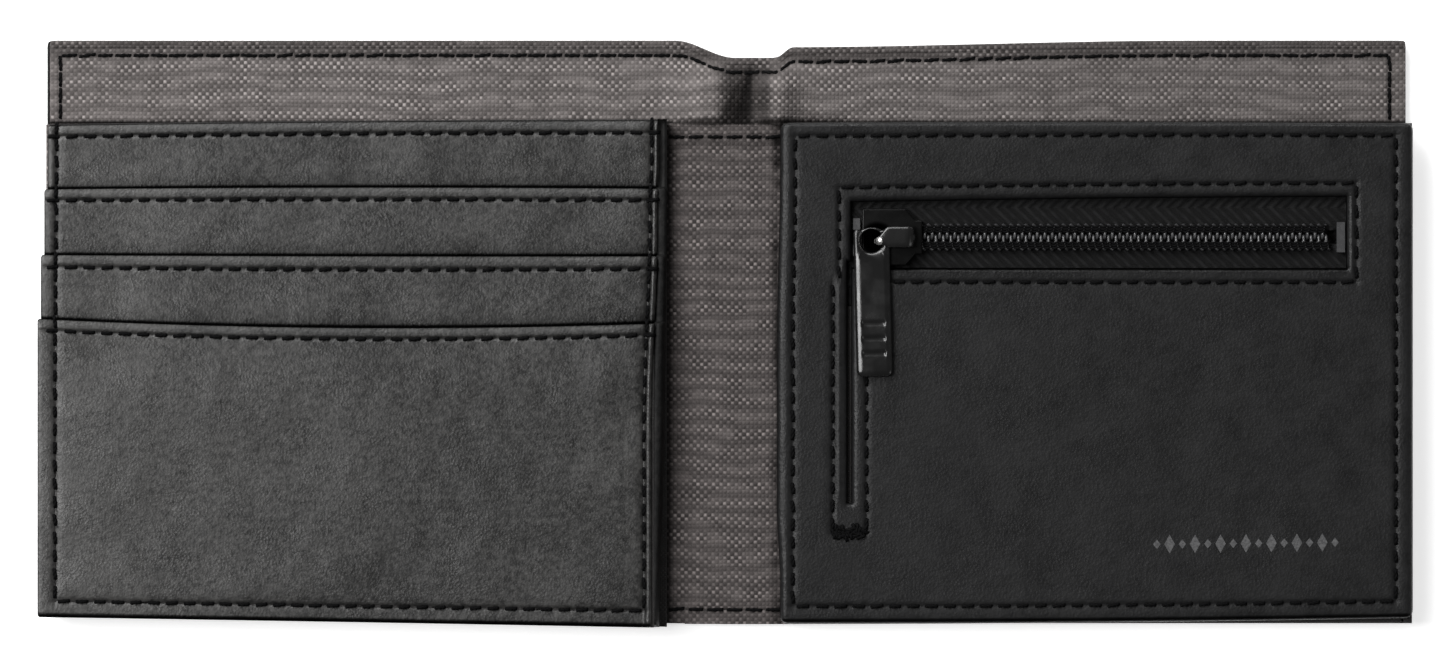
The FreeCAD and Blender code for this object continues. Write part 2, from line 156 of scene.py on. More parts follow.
class Row:
    """A straight row of stitches along X (axis 0) or Y (axis 1)."""

    def __init__(self, axis, across, centres):
        self.axis = axis
        self.across = across
        self.centres = np.sort(centres)
        gaps = np.diff(self.centres)
        self.pitch = float(gaps.mean()) if len(gaps) else PITCH

    def points(self):
        """Centre of each stitch, as x and y arrays."""
        level = np.full(len(self.centres), self.across)
        return (self.centres, level) if self.axis == 0 else (level, self.centres)

    def carried_on(self, start, end):
        """The same row, with stitches added at its own pitch as far as start and end."""
        before = np.arange(self.centres[0] - self.pitch, start, -self.pitch)
        after = np.arange(self.centres[-1] + self.pitch, end, self.pitch)
        return Row(self.axis, self.across, np.concatenate([before, self.centres, after]))

    def near(self, x, y):
        """How near a point is to the row, from 0 to 1, its phase from stitch to stitch (1 in the middle of
        one, -1 between two) and how far it lies past the row's end."""
        along, across = (x, y) if self.axis == 0 else (y, x)
        phase = np.interp(along, self.centres, np.arange(len(self.centres)))
        past = np.maximum(self.centres[0] - along, along - self.centres[-1])
        return hump(across, self.across, GROOVE_WIDTH), np.cos(2 * math.pi * phase), past

    def groove(self, x, y):
        """How far the leather is pulled down here: 0 away from the row, and 1 at a needle hole."""
        near, phase, past = self.near(x, y)
        fade = 1 - smooth((past - 0.4 * self.pitch) / (0.5 * self.pitch))
        return near * (0.55 + 0.45 * (0.5 - 0.5 * phase)) * fade

    def shade(self, x, y):
        """Painted shade and dye beside the thread: less in the gaps between stitches."""
        near, phase, past = self.near(x, y)
        return near * (0.4 + 0.6 * (0.5 + 0.5 * phase)) * ramp(past, 0.8 * self.pitch, 0)


def even_row(axis, across, start, end):
    """A row of evenly spaced stitches that fills a span."""
    count = max(1, round((end - start) / PITCH))
    return Row(axis, across, start + (np.arange(count) + 0.5) * (end - start) / count)


def meeting(rows):
    """The rows, evenly spaced again, with ends that stop short of a row across them carried on to it."""
    met = []
    for row in rows:
        ends = [row.centres[0] - row.pitch / 2, row.centres[-1] + row.pitch / 2]
        for other in rows:
            near = other.centres[0] - CORNER_GAP < row.across < other.centres[-1] + CORNER_GAP
            if other.axis != row.axis and near:
                ends = [other.across if abs(other.across - end) < CORNER_GAP else end for end in ends]
        met.append(even_row(row.axis, row.across, *ends))
    return met


def rows_of(nodes, z=None, x=None):
    """Rows of stitches in some CAD nodes, on a surface at height z and with centres in a span of X."""
    found = {}
    for node in nodes:
        for low, high in solids_of(node):
            centre = (low + high) / 2
            if (z and abs(low[2] - z) > 0.06) or (x and not x[0] <= centre[0] < x[1]):
                continue
            axis = 0 if high[0] - low[0] > high[1] - low[1] else 1
            key = (axis, round(centre[1 - axis], 2))
            found.setdefault(key, []).append(centre[axis])
    return [Row(axis, across, centres) for (axis, across), centres in sorted(found.items())]


# Building meshes


def make_object(name, points, faces, material, flat_faces=(), marks=None):
    """A smooth mesh object of points in mm. It remembers where they lay at rest, and any marks: numbers
    for each point that its material reads."""
    mesh = bpy.data.meshes.new(name)
    points = np.asarray(points, float)
    mesh.from_pydata((points * MM).tolist(), [], faces)
    smooth_faces = np.ones(len(mesh.polygons), bool)
    smooth_faces[list(flat_faces)] = False
    mesh.polygons.foreach_set("use_smooth", smooth_faces)
    rest = mesh.attributes.new("rest", "FLOAT_VECTOR", "POINT")
    rest.data.foreach_set("vector", points.astype(np.float32).ravel())
    for mark, values in (marks or {}).items():
        layer = mesh.attributes.new(mark, "FLOAT", "POINT")
        layer.data.foreach_set("value", np.asarray(values, np.float32))
    mesh.materials.append(material)
    mesh.update()
    obj = bpy.data.objects.new(name, mesh)
    bpy.context.scene.collection.objects.link(obj)
    return obj


class Sheet:
    """A flat closed piece of leather or cloth with rounded edges and seams pressed into it.

    It fills the box between two corners. square names its left or right side if that is cut straight,
    because the piece goes on there in another object, and undyed the sides without a dark edge."""

    roll = CLOTH_ROLL
    corner = 0
    groove_depth = GROOVE_DEPTH
    seam_shade = 0.6
    holes = square = undyed = rows = under_rows = shades = ()
    top_relief = under_relief = lifts = leans = fine_x = fine_y = ()

    def __init__(self, low, high, **settings):
        self.x, self.y, self.z = zip(low, high)
        self.under_roll = min(settings.get("roll", self.roll), 0.3)
        vars(self).update(settings)
        self.all_rows = [*self.rows, *self.under_rows]

    def edge_distance(self, x, y, left_out=()):
        """Distance in from the nearest edge, 0 in a hole."""
        (left, right), (foot, head) = self.x, self.y
        sides = {"left": x - left, "right": right - x, "foot": y - foot, "head": head - y}
        near = [distance for side, distance in sides.items() if side not in (*self.square, *left_out)]
        for hole_x, hole_y in self.holes:
            beside = np.maximum(np.maximum(hole_x[0] - x, x - hole_x[1]), 0)
            above = np.maximum(np.maximum(hole_y[0] - y, y - hole_y[1]), 0)
            near.append(np.hypot(beside, above))
        return np.maximum(np.min(np.broadcast_arrays(*near), axis=0), 0)

    def heights(self, x, y):
        """Height of the top and of the underside."""
        distance = self.edge_distance(x, y)
        rim = self.z[0] + RIM_SHARE * (self.z[1] - self.z[0])
        over, under = rounding(distance, self.roll), rounding(distance, self.under_roll)
        top = rim + (self.z[1] - rim) * over
        bottom = rim - (rim - self.z[0]) * under
        pressed, pressed_under = (self.groove_depth * sum(row.groove(x, y) for row in rows)
                                  for rows in (self.rows, self.under_rows))
        raised, raised_under = (sum(relief(x, y, distance) for relief in reliefs)
                                for reliefs in (self.top_relief, self.under_relief))
        lifted = sum(lift(x, y) for lift in self.lifts)
        top = top + over * (raised - pressed) + lifted
        return top, bottom + under * (raised_under + pressed_under) + lifted

    def darkness(self, x, y):
        """From 0 to 1, how much darker the surface is painted: shade and dye along seams, and the sheet's own
        shades, mostly painted shade in creases and where one part shades another.
        """
        clear = np.ones(np.shape(x))
        for row in self.all_rows:
            clear = clear * (1 - self.seam_shade * row.shade(x, y))
        for shade in self.shades:
            clear = clear * (1 - np.clip(shade(x, y), 0, 1))
        return 1 - clear

    def placed(self, x, y):
        """Where a point of the flat outline lies in plan."""
        for lean in self.leans:
            x, y = lean(x, y)
        return x, y

    def round_corners(self, x, y):
        radius = self.corner
        for side_x, edge_x, sign_x in (("left", self.x[0], -1), ("right", self.x[1], 1)):
            for edge_y, sign_y in ((self.y[0], -1), (self.y[1], 1)):
                if side_x in self.square or not radius:
                    continue
                centre_x, centre_y = edge_x - sign_x * radius, edge_y - sign_y * radius
                a = np.clip((x - centre_x) * sign_x / radius, 0, 1)
                b = np.clip((y - centre_y) * sign_y / radius, 0, 1)
                inside = (a > 0) & (b > 0)
                disc_x = centre_x + sign_x * radius * a * np.sqrt(1 - b * b / 2)
                disc_y = centre_y + sign_y * radius * b * np.sqrt(1 - a * a / 2)
                x, y = np.where(inside, disc_x, x), np.where(inside, disc_y, y)
        return x, y

    def grid_lines(self, axis, step):
        """Grid lines across the piece, closer together over edges and seams."""
        span = (self.x, self.y)[axis]
        edges = np.array([*span, *(edge for hole in self.holes for edge in hole[axis])])
        near = np.array(ROLL_LINES) * self.roll
        wanted = [edges, *(edge + near for edge in edges), *(edge - near for edge in edges)]
        wanted += [row.across + GROOVE_WIDTH * np.array(GROOVE_LINES)
                   for row in self.all_rows if row.axis != axis]
        fixed = np.concatenate([*wanted, *(self.fine_x, self.fine_y)[axis]])
        to_edge = np.abs(fixed[:, None] - edges[None]).min(axis=1)
        fixed = np.sort(np.concatenate([fixed[to_edge > EDGE_GAP], np.unique(edges)]))
        fixed = fixed[(fixed >= span[0]) & (fixed <= span[1])]
        fixed = fixed[np.concatenate([[True], np.diff(fixed) > LINE_GAP])]
        regular = np.linspace(*span, max(2, round((span[1] - span[0]) / step) + 1))
        clear = np.abs(regular[:, None] - fixed[None]).min(axis=1) > 0.4 * step
        return np.sort(np.concatenate([fixed, regular[clear]]))

    def kept_cells(self, x, y):
        """Which cells of the grid aren't in a hole."""
        middle_x = (x[1:, 1:] + x[:-1, :-1]) / 2
        middle_y = (y[1:, 1:] + y[:-1, :-1]) / 2
        keep = np.ones(middle_x.shape, bool)
        for hole_x, hole_y in self.holes:
            inside = (middle_x > hole_x[0]) & (middle_x < hole_x[1])
            keep &= ~(inside & (middle_y > hole_y[0]) & (middle_y < hole_y[1]))
        return keep

    def build(self, name, material, step=1.0):
        """The object: two faces that share their vertices along every rounded edge."""
        x, y = np.meshgrid(self.grid_lines(0, step), self.grid_lines(1, step), indexing="ij")
        keep = self.kept_cells(x, y)
        around = np.pad(keep, 1).astype(int)
        cells = around[:-1, :-1] + around[1:, :-1] + around[:-1, 1:] + around[1:, 1:]
        inward = self.edge_distance(x, y)
        used = cells > 0
        own = used & ~((cells < 4) & (inward < 1e-9))
        top_z, bottom_z = self.heights(x, y)
        place_x, place_y = self.placed(*self.round_corners(x, y))
        top = np.full(x.shape, -1)
        top[used] = np.arange(used.sum())
        bottom = top.copy()
        bottom[own] = used.sum() + np.arange(own.sum())
        upper = np.stack([place_x, place_y, top_z], -1)[used]
        lower = np.stack([place_x, place_y, bottom_z], -1)[own]
        faces = []
        for indices, turn in ((top, 1), (bottom, -1)):
            ring = [indices[:-1, :-1], indices[1:, :-1], indices[1:, 1:], indices[:-1, 1:]]
            faces += np.stack(ring[::turn], -1)[keep].tolist()
        walls = self.cut_walls(top, bottom)
        flat = range(len(faces), len(faces) + len(walls))
        dark = self.darkness(x, y)
        dyed = self.edge_distance(x, y, self.undyed)
        marks = {mark: np.concatenate([values[used], values[own]])
                 for mark, values in (("inward", dyed), ("dark", dark))}
        return make_object(name, np.concatenate([upper, lower]), faces + walls, material, flat, marks)

    def cut_walls(self, top, bottom):
        """Faces that close the square sides."""
        edges = {"left": (top[0][::-1], bottom[0][::-1]), "right": (top[-1], bottom[-1])}
        walls = []
        for side in self.square:
            high, low = edges[side]
            for corners in zip(high[1:], high[:-1], low[:-1], low[1:]):
                walls.append(list(dict.fromkeys(map(int, corners))))
        return walls


def joined(name, meshes, material):
    """One object out of several (points, faces) pairs."""
    faces, count = [], 0
    for points, some_faces in meshes:
        faces += [[v + count for v in face] for face in some_faces]
        count += len(points)
    return make_object(name, np.concatenate([points for points, _ in meshes]), faces, material)


def tube(centres, radius, sides=8):
    """Points and faces of a round tube along a line of points, closed at both ends."""
    centres = np.asarray(centres, float)
    ahead = np.gradient(centres, axis=0)
    ahead /= np.linalg.norm(ahead, axis=1)[:, None]
    normal = np.cross(ahead[0], (0, 0, 1))
    if np.linalg.norm(normal) < 1e-6:
        normal = np.array([1.0, 0, 0])
    rings = []
    turns = np.arange(sides) * 2 * math.pi / sides
    radii = np.broadcast_to(radius, len(centres))
    for centre, direction, size in zip(centres, ahead, radii):
        normal = normal - direction * (normal @ direction)
        normal /= np.linalg.norm(normal)
        across = np.cross(direction, normal)
        ring = np.cos(turns)[:, None] * normal + np.sin(turns)[:, None] * across
        rings.append(centre + size * ring)
    return np.concatenate(rings), tube_faces(len(centres), sides)


def tube_faces(rings, sides):
    """Faces between the rings of a tube, and at its ends."""
    faces = []
    for i in range(rings - 1):
        for k in range(sides):
            after = (k + 1) % sides
            faces.append([i * sides + k, i * sides + after, (i + 1) * sides + after, (i + 1) * sides + k])
    last = (rings - 1) * sides
    return faces + [list(range(sides))[::-1], [last + k for k in range(sides)]]


def stitch(sheet, x, y, axis, face, length, slant, sink):
    """Two plies of thread twisted together, lying in their groove and diving in at both ends."""
    turn = slant if axis == 0 else math.pi / 2 + slant
    direction = np.array([math.cos(turn), math.sin(turn)])
    side = np.array([-direction[1], direction[0]])
    s = np.linspace(-1, 1, 11)
    rise = THREAD_R * (0.9 - 2.6 * np.abs(s) ** 6)
    sizes = THREAD_R * (1 - 0.35 * np.abs(s) ** 8)
    plies = []
    for ply in (0, math.pi):
        twist = ply + s * 1.35 * math.pi
        sideways = PLY_OFFSET * np.cos(twist)
        flat_x = x + s * length / 2 * direction[0] + sideways * side[0]
        flat_y = y + s * length / 2 * direction[1] + sideways * side[1]
        top, bottom = sheet.heights(flat_x, flat_y)
        above = rise - sink + 0.8 * PLY_OFFSET * np.sin(twist)
        z = top + above if face == "top" else bottom - above
        place_x, place_y = sheet.placed(flat_x, flat_y)
        plies.append(tube(np.stack([place_x, place_y, z], -1), sizes, 6))
    return plies


def stitching(name, work, face="top", size=STITCH_LENGTH, sink=0.0):
    """All stitches of some rows as one piece. work pairs each sheet with its rows."""
    draw = np.random.default_rng(sum(map(ord, name)))
    plies = []
    for sheet, rows in work:
        for row in rows:
            for x, y in zip(*row.points()):
                length = size * draw.uniform(0.9, 1.08)
                slant = SLANT * draw.uniform(-0.6, 2.0)
                plies += stitch(sheet, x, y, row.axis, face, length, slant, sink)
    return joined(name, plies, THREAD)


# Materials


class Value:
    """What one output of a node gives. Sums and products with it add more nodes."""

    def __init__(self, shader, socket):
        self.shader, self.socket = shader, socket

    def __add__(self, other):
        return self.shader.math("ADD", self, other)

    def __sub__(self, other):
        return self.shader.math("SUBTRACT", self, other)

    def __rsub__(self, other):
        return self.shader.math("SUBTRACT", other, self)

    def __mul__(self, other):
        return self.shader.math("MULTIPLY", self, other)


class Shader:
    """Builds one node material. Lengths in its textures are in millimetres."""

    def __init__(self, name, colour, roughness, specular=0.5, on_cad=False):
        self.material = bpy.data.materials.new(name)
        self.material.use_nodes = True
        self.tree = self.material.node_tree
        self.surface = self.tree.nodes["Principled BSDF"].inputs
        self.set(base_color=colour, roughness=roughness, specular_ior_level=specular)
        if on_cad:
            place = self.node("TexCoord", output="Object")
            self.place = self.node("VectorMath", {0: place, "Scale": 1 / MM}, operation="SCALE")
        else:
            self.place = self.node("Attribute", output="Vector", attribute_name="rest")

    def node(self, kind, inputs=(), output=0, **settings):
        """Adds a node, feeds its inputs by place or by name, and returns one output."""
        made = self.tree.nodes.new("ShaderNode" + kind)
        for key, value in settings.items():
            setattr(made, key, value)
        for key, value in dict(inputs).items():
            self.feed(made.inputs[key], value)
        return Value(self, made.outputs[output])

    def feed(self, socket, value):
        """Links a socket to what a node gives, or sets its own value."""
        if isinstance(value, Value):
            self.tree.links.new(value.socket, socket)
        elif isinstance(value, tuple):
            socket.default_value = (*value, 1)[:len(socket.default_value)]
        else:
            socket.default_value = value

    def set(self, **inputs):
        """Sets inputs of the surface. A black surface that is metallic reflects nothing, so where shade is
        painted black it is made metallic as well and shows no gloss, as in a deep seam."""
        for key, value in inputs.items():
            self.feed(self.surface[key.replace("_", " ").title().replace("Ior", "IOR")], value)

    def mark(self, name):
        """A number that each point of the mesh carries."""
        return self.node("Attribute", output="Fac", attribute_name=name)

    def math(self, operation, *values):
        return self.node("Math", enumerate(values), operation=operation)

    def axis(self, index):
        return self.node("SeparateXYZ", {0: self.place}, index)

    def noise(self, length, detail=2.0, roughness=0.5, stretch=(1, 1, 1)):
        place = self.node("VectorMath", {0: self.place, 1: stretch}, operation="MULTIPLY")
        inputs = {"Vector": place, "Scale": 1 / length, "Detail": detail, "Roughness": roughness}
        return self.node("TexNoise", inputs, "Fac")

    def cells(self, length):
        return self.node("TexVoronoi", {"Vector": self.place, "Scale": 1 / length}, "Distance")

    def mapped(self, value, low, high, to_low=0.0, to_high=1.0):
        return self.node("MapRange", enumerate((value, low, high, to_low, to_high)))

    def mixed(self, share, a, b):
        return self.node("Mix", {"Factor": share, "A": a, "B": b}, "Result", data_type="RGBA")

    def colour(self, share, a, b):
        self.set(base_color=self.mixed(share, a, b))

    def bump(self, height, depth, **under):
        """Raises the surface by height (0 to 1) times depth, over an earlier bump (Normal)."""
        made = self.node("Bump", {"Distance": depth * MM, "Height": height, **under})
        self.set(normal=made)
        return made


# black of dyed edges, and of the shade painted along seams, in creases and under other parts
DYE_AND_SHADE = (0.0015, 0.0015, 0.0015)


def leather(name, dark, light, gloss, specular, dye_width=0.16, burnish=-0.1, painted_sheen_span=(0, 1)):
    """Smooth calf leather: fine pebbled grain, a mottled sheen, and edges dyed black and burnished. It also
    goes black where the mark 'dark' gives painted shade and dye.

    Its last argument is where, along X, the leather goes from its full tone to a paler tone: a painted sheen,
    paler on the side of the lamps."""
    made = Shader(name, dark, gloss, specular)
    inward, shade_and_dye = made.mark("inward"), made.mark("dark")
    tone = made.noise(0.95, 2.0, 0.65) * 0.7 + made.noise(13.0, 3.0, 0.6) * 0.4
    # painted sheen: the tone grows paler along X over the span given last
    tone = tone + made.mapped(made.axis(0), *painted_sheen_span, -0.05, 0.05)
    body = made.mixed(made.mapped(tone, 0.42, 0.72), dark, light)
    # black where the edge is dyed, and where the mark 'dark' paints shade along seams, contact lines and
    # under other parts; no gloss there either
    bare = made.mapped(inward, dye_width - 0.14, dye_width) * (1 - shade_and_dye)
    made.colour(bare, DYE_AND_SHADE, body)
    gloss_here = made.mapped(made.noise(5.0, 3.0), 0.3, 0.7, gloss - 0.07, gloss + 0.1)
    made.set(metallic=1 - bare, roughness=gloss_here + made.mapped(inward, 0.3, 1.6, burnish, 0.0))
    grain = made.bump(made.cells(0.42) * 0.8 + made.noise(0.16) * 0.5, 0.04)
    made.bump(made.noise(2.6, 2.0, stretch=(0.5, 1, 1)), 0.09, Normal=grain)
    return made.material


BAND_PACE = 2 * math.pi / 2.8   # the light yarns show more and less in bands 2.8 mm apart


def woven(name, dark, light, cell, depth):
    """Two-tone plain weave: every other crossing shows the lighter yarn, in places more than in others. Its
    tone is painted darker towards +X, away from the lamps, and black where the mark 'dark' paints shade.
    """
    made = Shader(name, dark, 0.8, 0.2)
    pace = math.pi / cell
    drift = made.noise(9.0) * 0.6
    sway = made.noise(7.0, stretch=(1, 1.3, 1)) * 0.6
    along = made.math("SINE", (made.axis(0) + drift) * pace)
    across = made.math("SINE", (made.axis(1) + sway) * pace)
    crossing = along * across
    fibre = made.noise(0.12, 1.0)
    yarn_x = made.noise(cell * 1.6, 0.0, stretch=(1, 0.04, 1))
    yarn_y = made.noise(cell * 1.6, 0.0, stretch=(0.04, 1, 1))
    over = made.mapped(crossing, -0.1, 0.8) * made.mapped(yarn_x * yarn_y, 0.12, 0.4, 0.5, 1.2)
    wander = made.noise(11.0, 2.0) * 5.0
    band = made.math("SINE", (made.axis(1) + wander) * BAND_PACE)
    patch = made.mapped(made.noise(3.0, 2.0), 0.35, 0.62, 0.15, 1.0)
    clear = made.mapped(band, -0.9, 0.7, 0.35, 1.0) * patch
    share = (over - 0.3) * clear + made.mapped(band, -1.0, 0.6, 0.08, 0.255)
    # painted shade: darker towards +X, away from the lamps
    share = (fibre * 0.25 + share) * made.mapped(made.axis(0), 5.0, 60.0, 1.0, 0.76)
    painted_shade = made.mark("dark")
    made.colour(painted_shade, made.mixed(share, dark, light), DYE_AND_SHADE)
    made.set(metallic=painted_shade)
    made.bump(made.math("ABSOLUTE", crossing) * 0.8 + fibre * 0.3, depth)
    return made.material


def herringbone(name, along_y):
    """Black zip tape: ribs that slant one way and then the other. along_y is where a band starts."""
    made = Shader(name, (0.006, 0.006, 0.006), 0.65, 0.15)
    band = made.math("PINGPONG", made.axis(1) - along_y, 3.2)
    rib = made.math("SINE", (made.axis(0) + band) * (2 * math.pi / 1.7))
    fibre = made.noise(0.16, 2.0)
    patchy = made.mapped(made.noise(1.5, 1.0), 0.35, 0.65, 0.2, 1.0)
    stroke = made.mapped(rib, -0.3, 0.8) * patchy
    made.colour(fibre * 0.35 + stroke * 0.7, (0.0012, 0.0012, 0.0012), (0.0135, 0.0135, 0.014))
    made.bump(rib * 0.5 + fibre, 0.12)
    return made.material


def coil_nylon(name, on_cad):
    """Glossy black nylon monofilament."""
    made = Shader(name, (0.05, 0.05, 0.052), 0.3, 1.0, on_cad)
    made.set(roughness=made.mapped(made.noise(0.8), 0.3, 0.7, 0.2, 0.34))
    made.bump(made.noise(0.3, 1.0), 0.006)
    return made.material


# black for a painted shadow: the slider under the puller's eye
EYE_SHADOW_BLACK = (0.0008, 0.0008, 0.0008)
BARE_ZINC = (0.8, 0.79, 0.77)


def enamelled_metal(name, on_cad, patch=None, specular=0.8):
    """Cast zinc under glossy black enamel, with an even orange peel and a few rubbed places.

    patch is the centre, radius and colour of a metallic place instead: black for a painted shadow, which then
    reflects nothing, or pale for bare metal."""
    made = Shader(name, (0.006, 0.006, 0.006), 0.24, specular, on_cad)
    rubbed = made.mapped(made.noise(3.6, 3.0, 0.6), 0.4, 0.75)
    body = made.mixed(rubbed, (0.004, 0.004, 0.004), (0.009, 0.009, 0.009))
    if patch:
        centre, radius, patch_colour = patch
        x, y = made.axis(0) - centre[0], made.axis(1) - centre[1]
        outside_patch = made.mapped(made.math("SQRT", x * x + y * y), 0.85 * radius, 1.1 * radius)
        made.colour(outside_patch, patch_colour, body)
        made.set(metallic=1 - outside_patch)
    else:
        made.set(base_color=body, roughness=made.mapped(rubbed, 0, 1, 0.19, 0.3))
    made.bump(made.noise(0.5, 2.0), 0.008)
    return made.material


def flecked(name, base, roughness, specular, fleck, span, dark, light, relief, depth):
    """A surface with flecks of two tones. fleck and relief are the noise behind the tones and the bump."""
    made = Shader(name, base, roughness, specular)
    made.colour(made.mapped(made.noise(*fleck), *span), dark, light)
    made.bump(made.noise(*relief) if relief else made.cells(0.42), depth)
    return made.material


def fibreboard(name, dark, light, roughness):
    """Pressed sheet, for the layers shut up inside the shell."""
    return flecked(name, dark, roughness, 0.4, (0.6, 3.0), (0.4, 0.6), dark, light, (0.3, 2.0), 0.02)


# the card leather's tone is lighter than the zip leather's, partly as painted sheen of the card panel
CARD_LEATHER = leather("card_leather", (0.012, 0.0117, 0.0113), (0.06, 0.0585, 0.0565), 0.37, 0.5,
                       burnish=0.02, painted_sheen_span=(-55, -100))
# a darker, duller copy of the card leather for the card panel's side band: painted shade on a side that faces
# away from the lamps
SHADED_EDGE_LEATHER = leather("shaded_edge_leather", (0.009, 0.009, 0.009), (0.022, 0.0215, 0.021), 0.6, 0.12)
ZIP_LEATHER = leather("zip_leather", (0.0073, 0.0073, 0.0075), (0.0132, 0.0132, 0.0136), 0.42, 0.26)
COVER_LEATHER = leather("cover_leather", (0.012, 0.012, 0.012), (0.028, 0.0275, 0.0275), 0.42, 0.4,
                        dye_width=0.55)
LINING_CLOTH = woven("lining_cloth", (0.05, 0.044, 0.042), (0.42, 0.38, 0.37), 0.62, 0.1)
# a darker copy of the lining cloth for the divider: painted shade, deep between the two panels at the spine
SHADED_SPINE_CLOTH = woven("shaded_spine_cloth", (0.02, 0.0172, 0.0168), (0.275, 0.243, 0.236), 0.62, 0.1)
BACKING_CLOTH = woven("backing_cloth", (0.02, 0.019, 0.019), (0.05, 0.048, 0.047), 0.35, 0.05)
# waxed polyester thread with fine fibres along it
THREAD = flecked("black_thread", (0.002, 0.002, 0.002), 0.75, 0.08, (0.06, 2.0), (0.35, 0.65),
                 (0.001, 0.001, 0.001), (0.005, 0.005, 0.0055), (0.06, 2.0), 0.02)
NYLON = coil_nylon("coil_nylon", False)
NYLON_STOPS = coil_nylon("stop_nylon", True)
ENAMEL = enamelled_metal("black_enamel", False)
# printing ink, thin enough for the leather's grain to break it up
INK = flecked("grey_ink", (0.07, 0.07, 0.072), 0.6, 0.3, (0.3,), (0.35, 0.65),
              (0.06, 0.06, 0.062), (0.11, 0.11, 0.112), None, 0.02)
BOARD = fibreboard("stiffener_board", (0.12, 0.1, 0.08), (0.2, 0.17, 0.14), 0.8)
FOIL = fibreboard("blocking_foil", (0.4, 0.4, 0.41), (0.55, 0.55, 0.56), 0.35)


def settle(piece, body, material_slot, *nodes, bend=None):
    """Hides the CAD nodes that a piece stands for and puts the piece on its body. bend, given for a piece of
    a half that goes on over the spine, is the reach of its bend round the fold line beside the spine; such a
    piece is only fixed where it stands, neither bent nor put on a body."""
    if nodes:
        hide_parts(*nodes)
    if bend is None:
        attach(piece, body)
    else:
        side = -1 if body == "left_half" else 1
        far, near = side * (hinge_x + bend), side * (hinge_x - bend)
        far * MM
        near * MM
        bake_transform(piece)
    return piece


def sew(name, work, body, *nodes, bend=None, **settings):
    """A piece of stitching, settled on its body."""
    return settle(stitching(name, work, **settings), body, "thread", *nodes, bend=bend)


# Places that several pieces need

cover_low, cover_high = box("cover_left")
spine_high = box("cover_spine")[1]
lining_low, lining_high = box("lining_right")
hinge_x = (spine_high.x - cover_high.x) / 2
divider_low, divider_high = box("divider_left")
card_low, card_high = box("card_panel_back")
band_low, band_high = box("card_panel_side_edge")
zip_low, zip_high = box("zip_panel")
SLOTS = ("card_slot_1", "card_slot_2", "card_slot_3", "front_pocket")
mouths = [box(node)[1] for node in SLOTS]
tape_low, tape_high = box("zip_tape_lower")
chain_y = (tape_high.y + box("zip_tape_upper")[0].y) / 2
window_x = (tape_low.x + TAPE_END, tape_high.x - TAPE_END)
window_y = (chain_y - WINDOW_BELOW, chain_y + WINDOW_ABOVE)
facing_low, _ = box("slit_facing")
slit_x = (window_x[0] - SLIT_WIDTH, window_x[0])
slit_y = (facing_low.y + SLIT_RIM, chain_y)
SIDES = (("left", -1), ("right", 1))
INNER = {-1: ("right",), 1: ("left",)}        # the side of a half that goes on over the spine
BACKING = (BACKING_CLOTH, "backing_textile")
LINING = (LINING_CLOTH, "lining_textile")
pivot = (24.3, 15.1)          # the leg of the crown that the puller turns about
TAPE_CLOTH = herringbone("tape_cloth", window_y[0])
# the slider body, painted black and without gloss round the crown's leg: a painted shadow in the puller's eye
EYE_SHADOW_ENAMEL = enamelled_metal("eye_shadow_enamel", True, (pivot, 2.7, EYE_SHADOW_BLACK), 0.15)
crown_leg = (24.45, 14.7)     # its front leg, rubbed bare by the puller's eye
WORN_ENAMEL = enamelled_metal("worn_enamel", False, (crown_leg, 0.62, BARE_ZINC))


def span(side, near, far):
    """A span of X on one side of the spine, lowest first."""
    return tuple(sorted((side * near, side * far)))


# How the leather and cloth lie a little off square


def mouth_dip(x, y):
    """The banknote compartment's mouth dips where it crosses the spine."""
    left = ramp(x, -8, 1.5)
    right = 1 - 0.62 * ramp(x, 8, 11) - 0.38 * ramp(x, 10, 75)
    return x, y - 2.75 * np.minimum(left, right) * ramp(y, 22, 40)


def crease(x, y, spread):
    """Share of the deep fold in the lining between the two soft ones, wider towards the divider."""
    _, y = mouth_dip(x, y)
    down = np.clip((42.6 - y) / 8.4, 0, 1)
    half = 0.35 + 1.9 * down
    return ramp(np.abs(x - (4.1 - 1.35 * down)), half * (1 + spread) + 0.2, half * (1 - spread))


def spine_pinch(x, y):
    """The lining rises in two soft folds at the mouth, with a deep crease between them."""
    left = 2.7 * hump(x, -2.6, 4.6)
    right = 2.6 * hump(x, 8.3, 3.0) + 0.9 * hump(x, 13, 7)
    rise = np.maximum(left, right) * (1 - 0.95 * crease(x, y, 0.9))
    _, y = mouth_dip(x, y)
    return rise * ramp(y, 33.4, 34.6) * ramp(y, 44.6, 39.5)


def spine_shade(x, y):
    """Painted shade in that crease, on the slopes beside it and along the edge of both panels."""
    slope = 0.5 * ramp(x, -2.0, 0.8) * ramp(x, 8.0, 6.6)
    fold = np.maximum(0.88 * crease(x, y, 0.75), slope)
    _, y = mouth_dip(x, y)
    gap = 0.95 * hump(y, 33.8, 0.4) * ramp(np.abs(x), 8.5, 9.3)
    return np.maximum(fold * ramp(y, 44.2, 41.5), gap)


def lie(levels, span_x):
    """A lean in Y. levels gives, from the top down, a height and how far the leather lies off it at its
    left end, in its middle and at its right end."""
    heights, offsets = zip(*levels[::-1])

    def lean(x, y):
        across = (x - span_x[0]) / (span_x[1] - span_x[0])
        shift = 0
        for i, (left, middle, right) in enumerate(offsets):
            share = np.interp(y, heights, np.eye(len(heights))[i])
            bow = left * (1 - across) * (1 - 2 * across) + right * across * (2 * across - 1)
            shift = shift + share * (bow + 4 * middle * across * (1 - across))
        return x, y + shift

    return lean


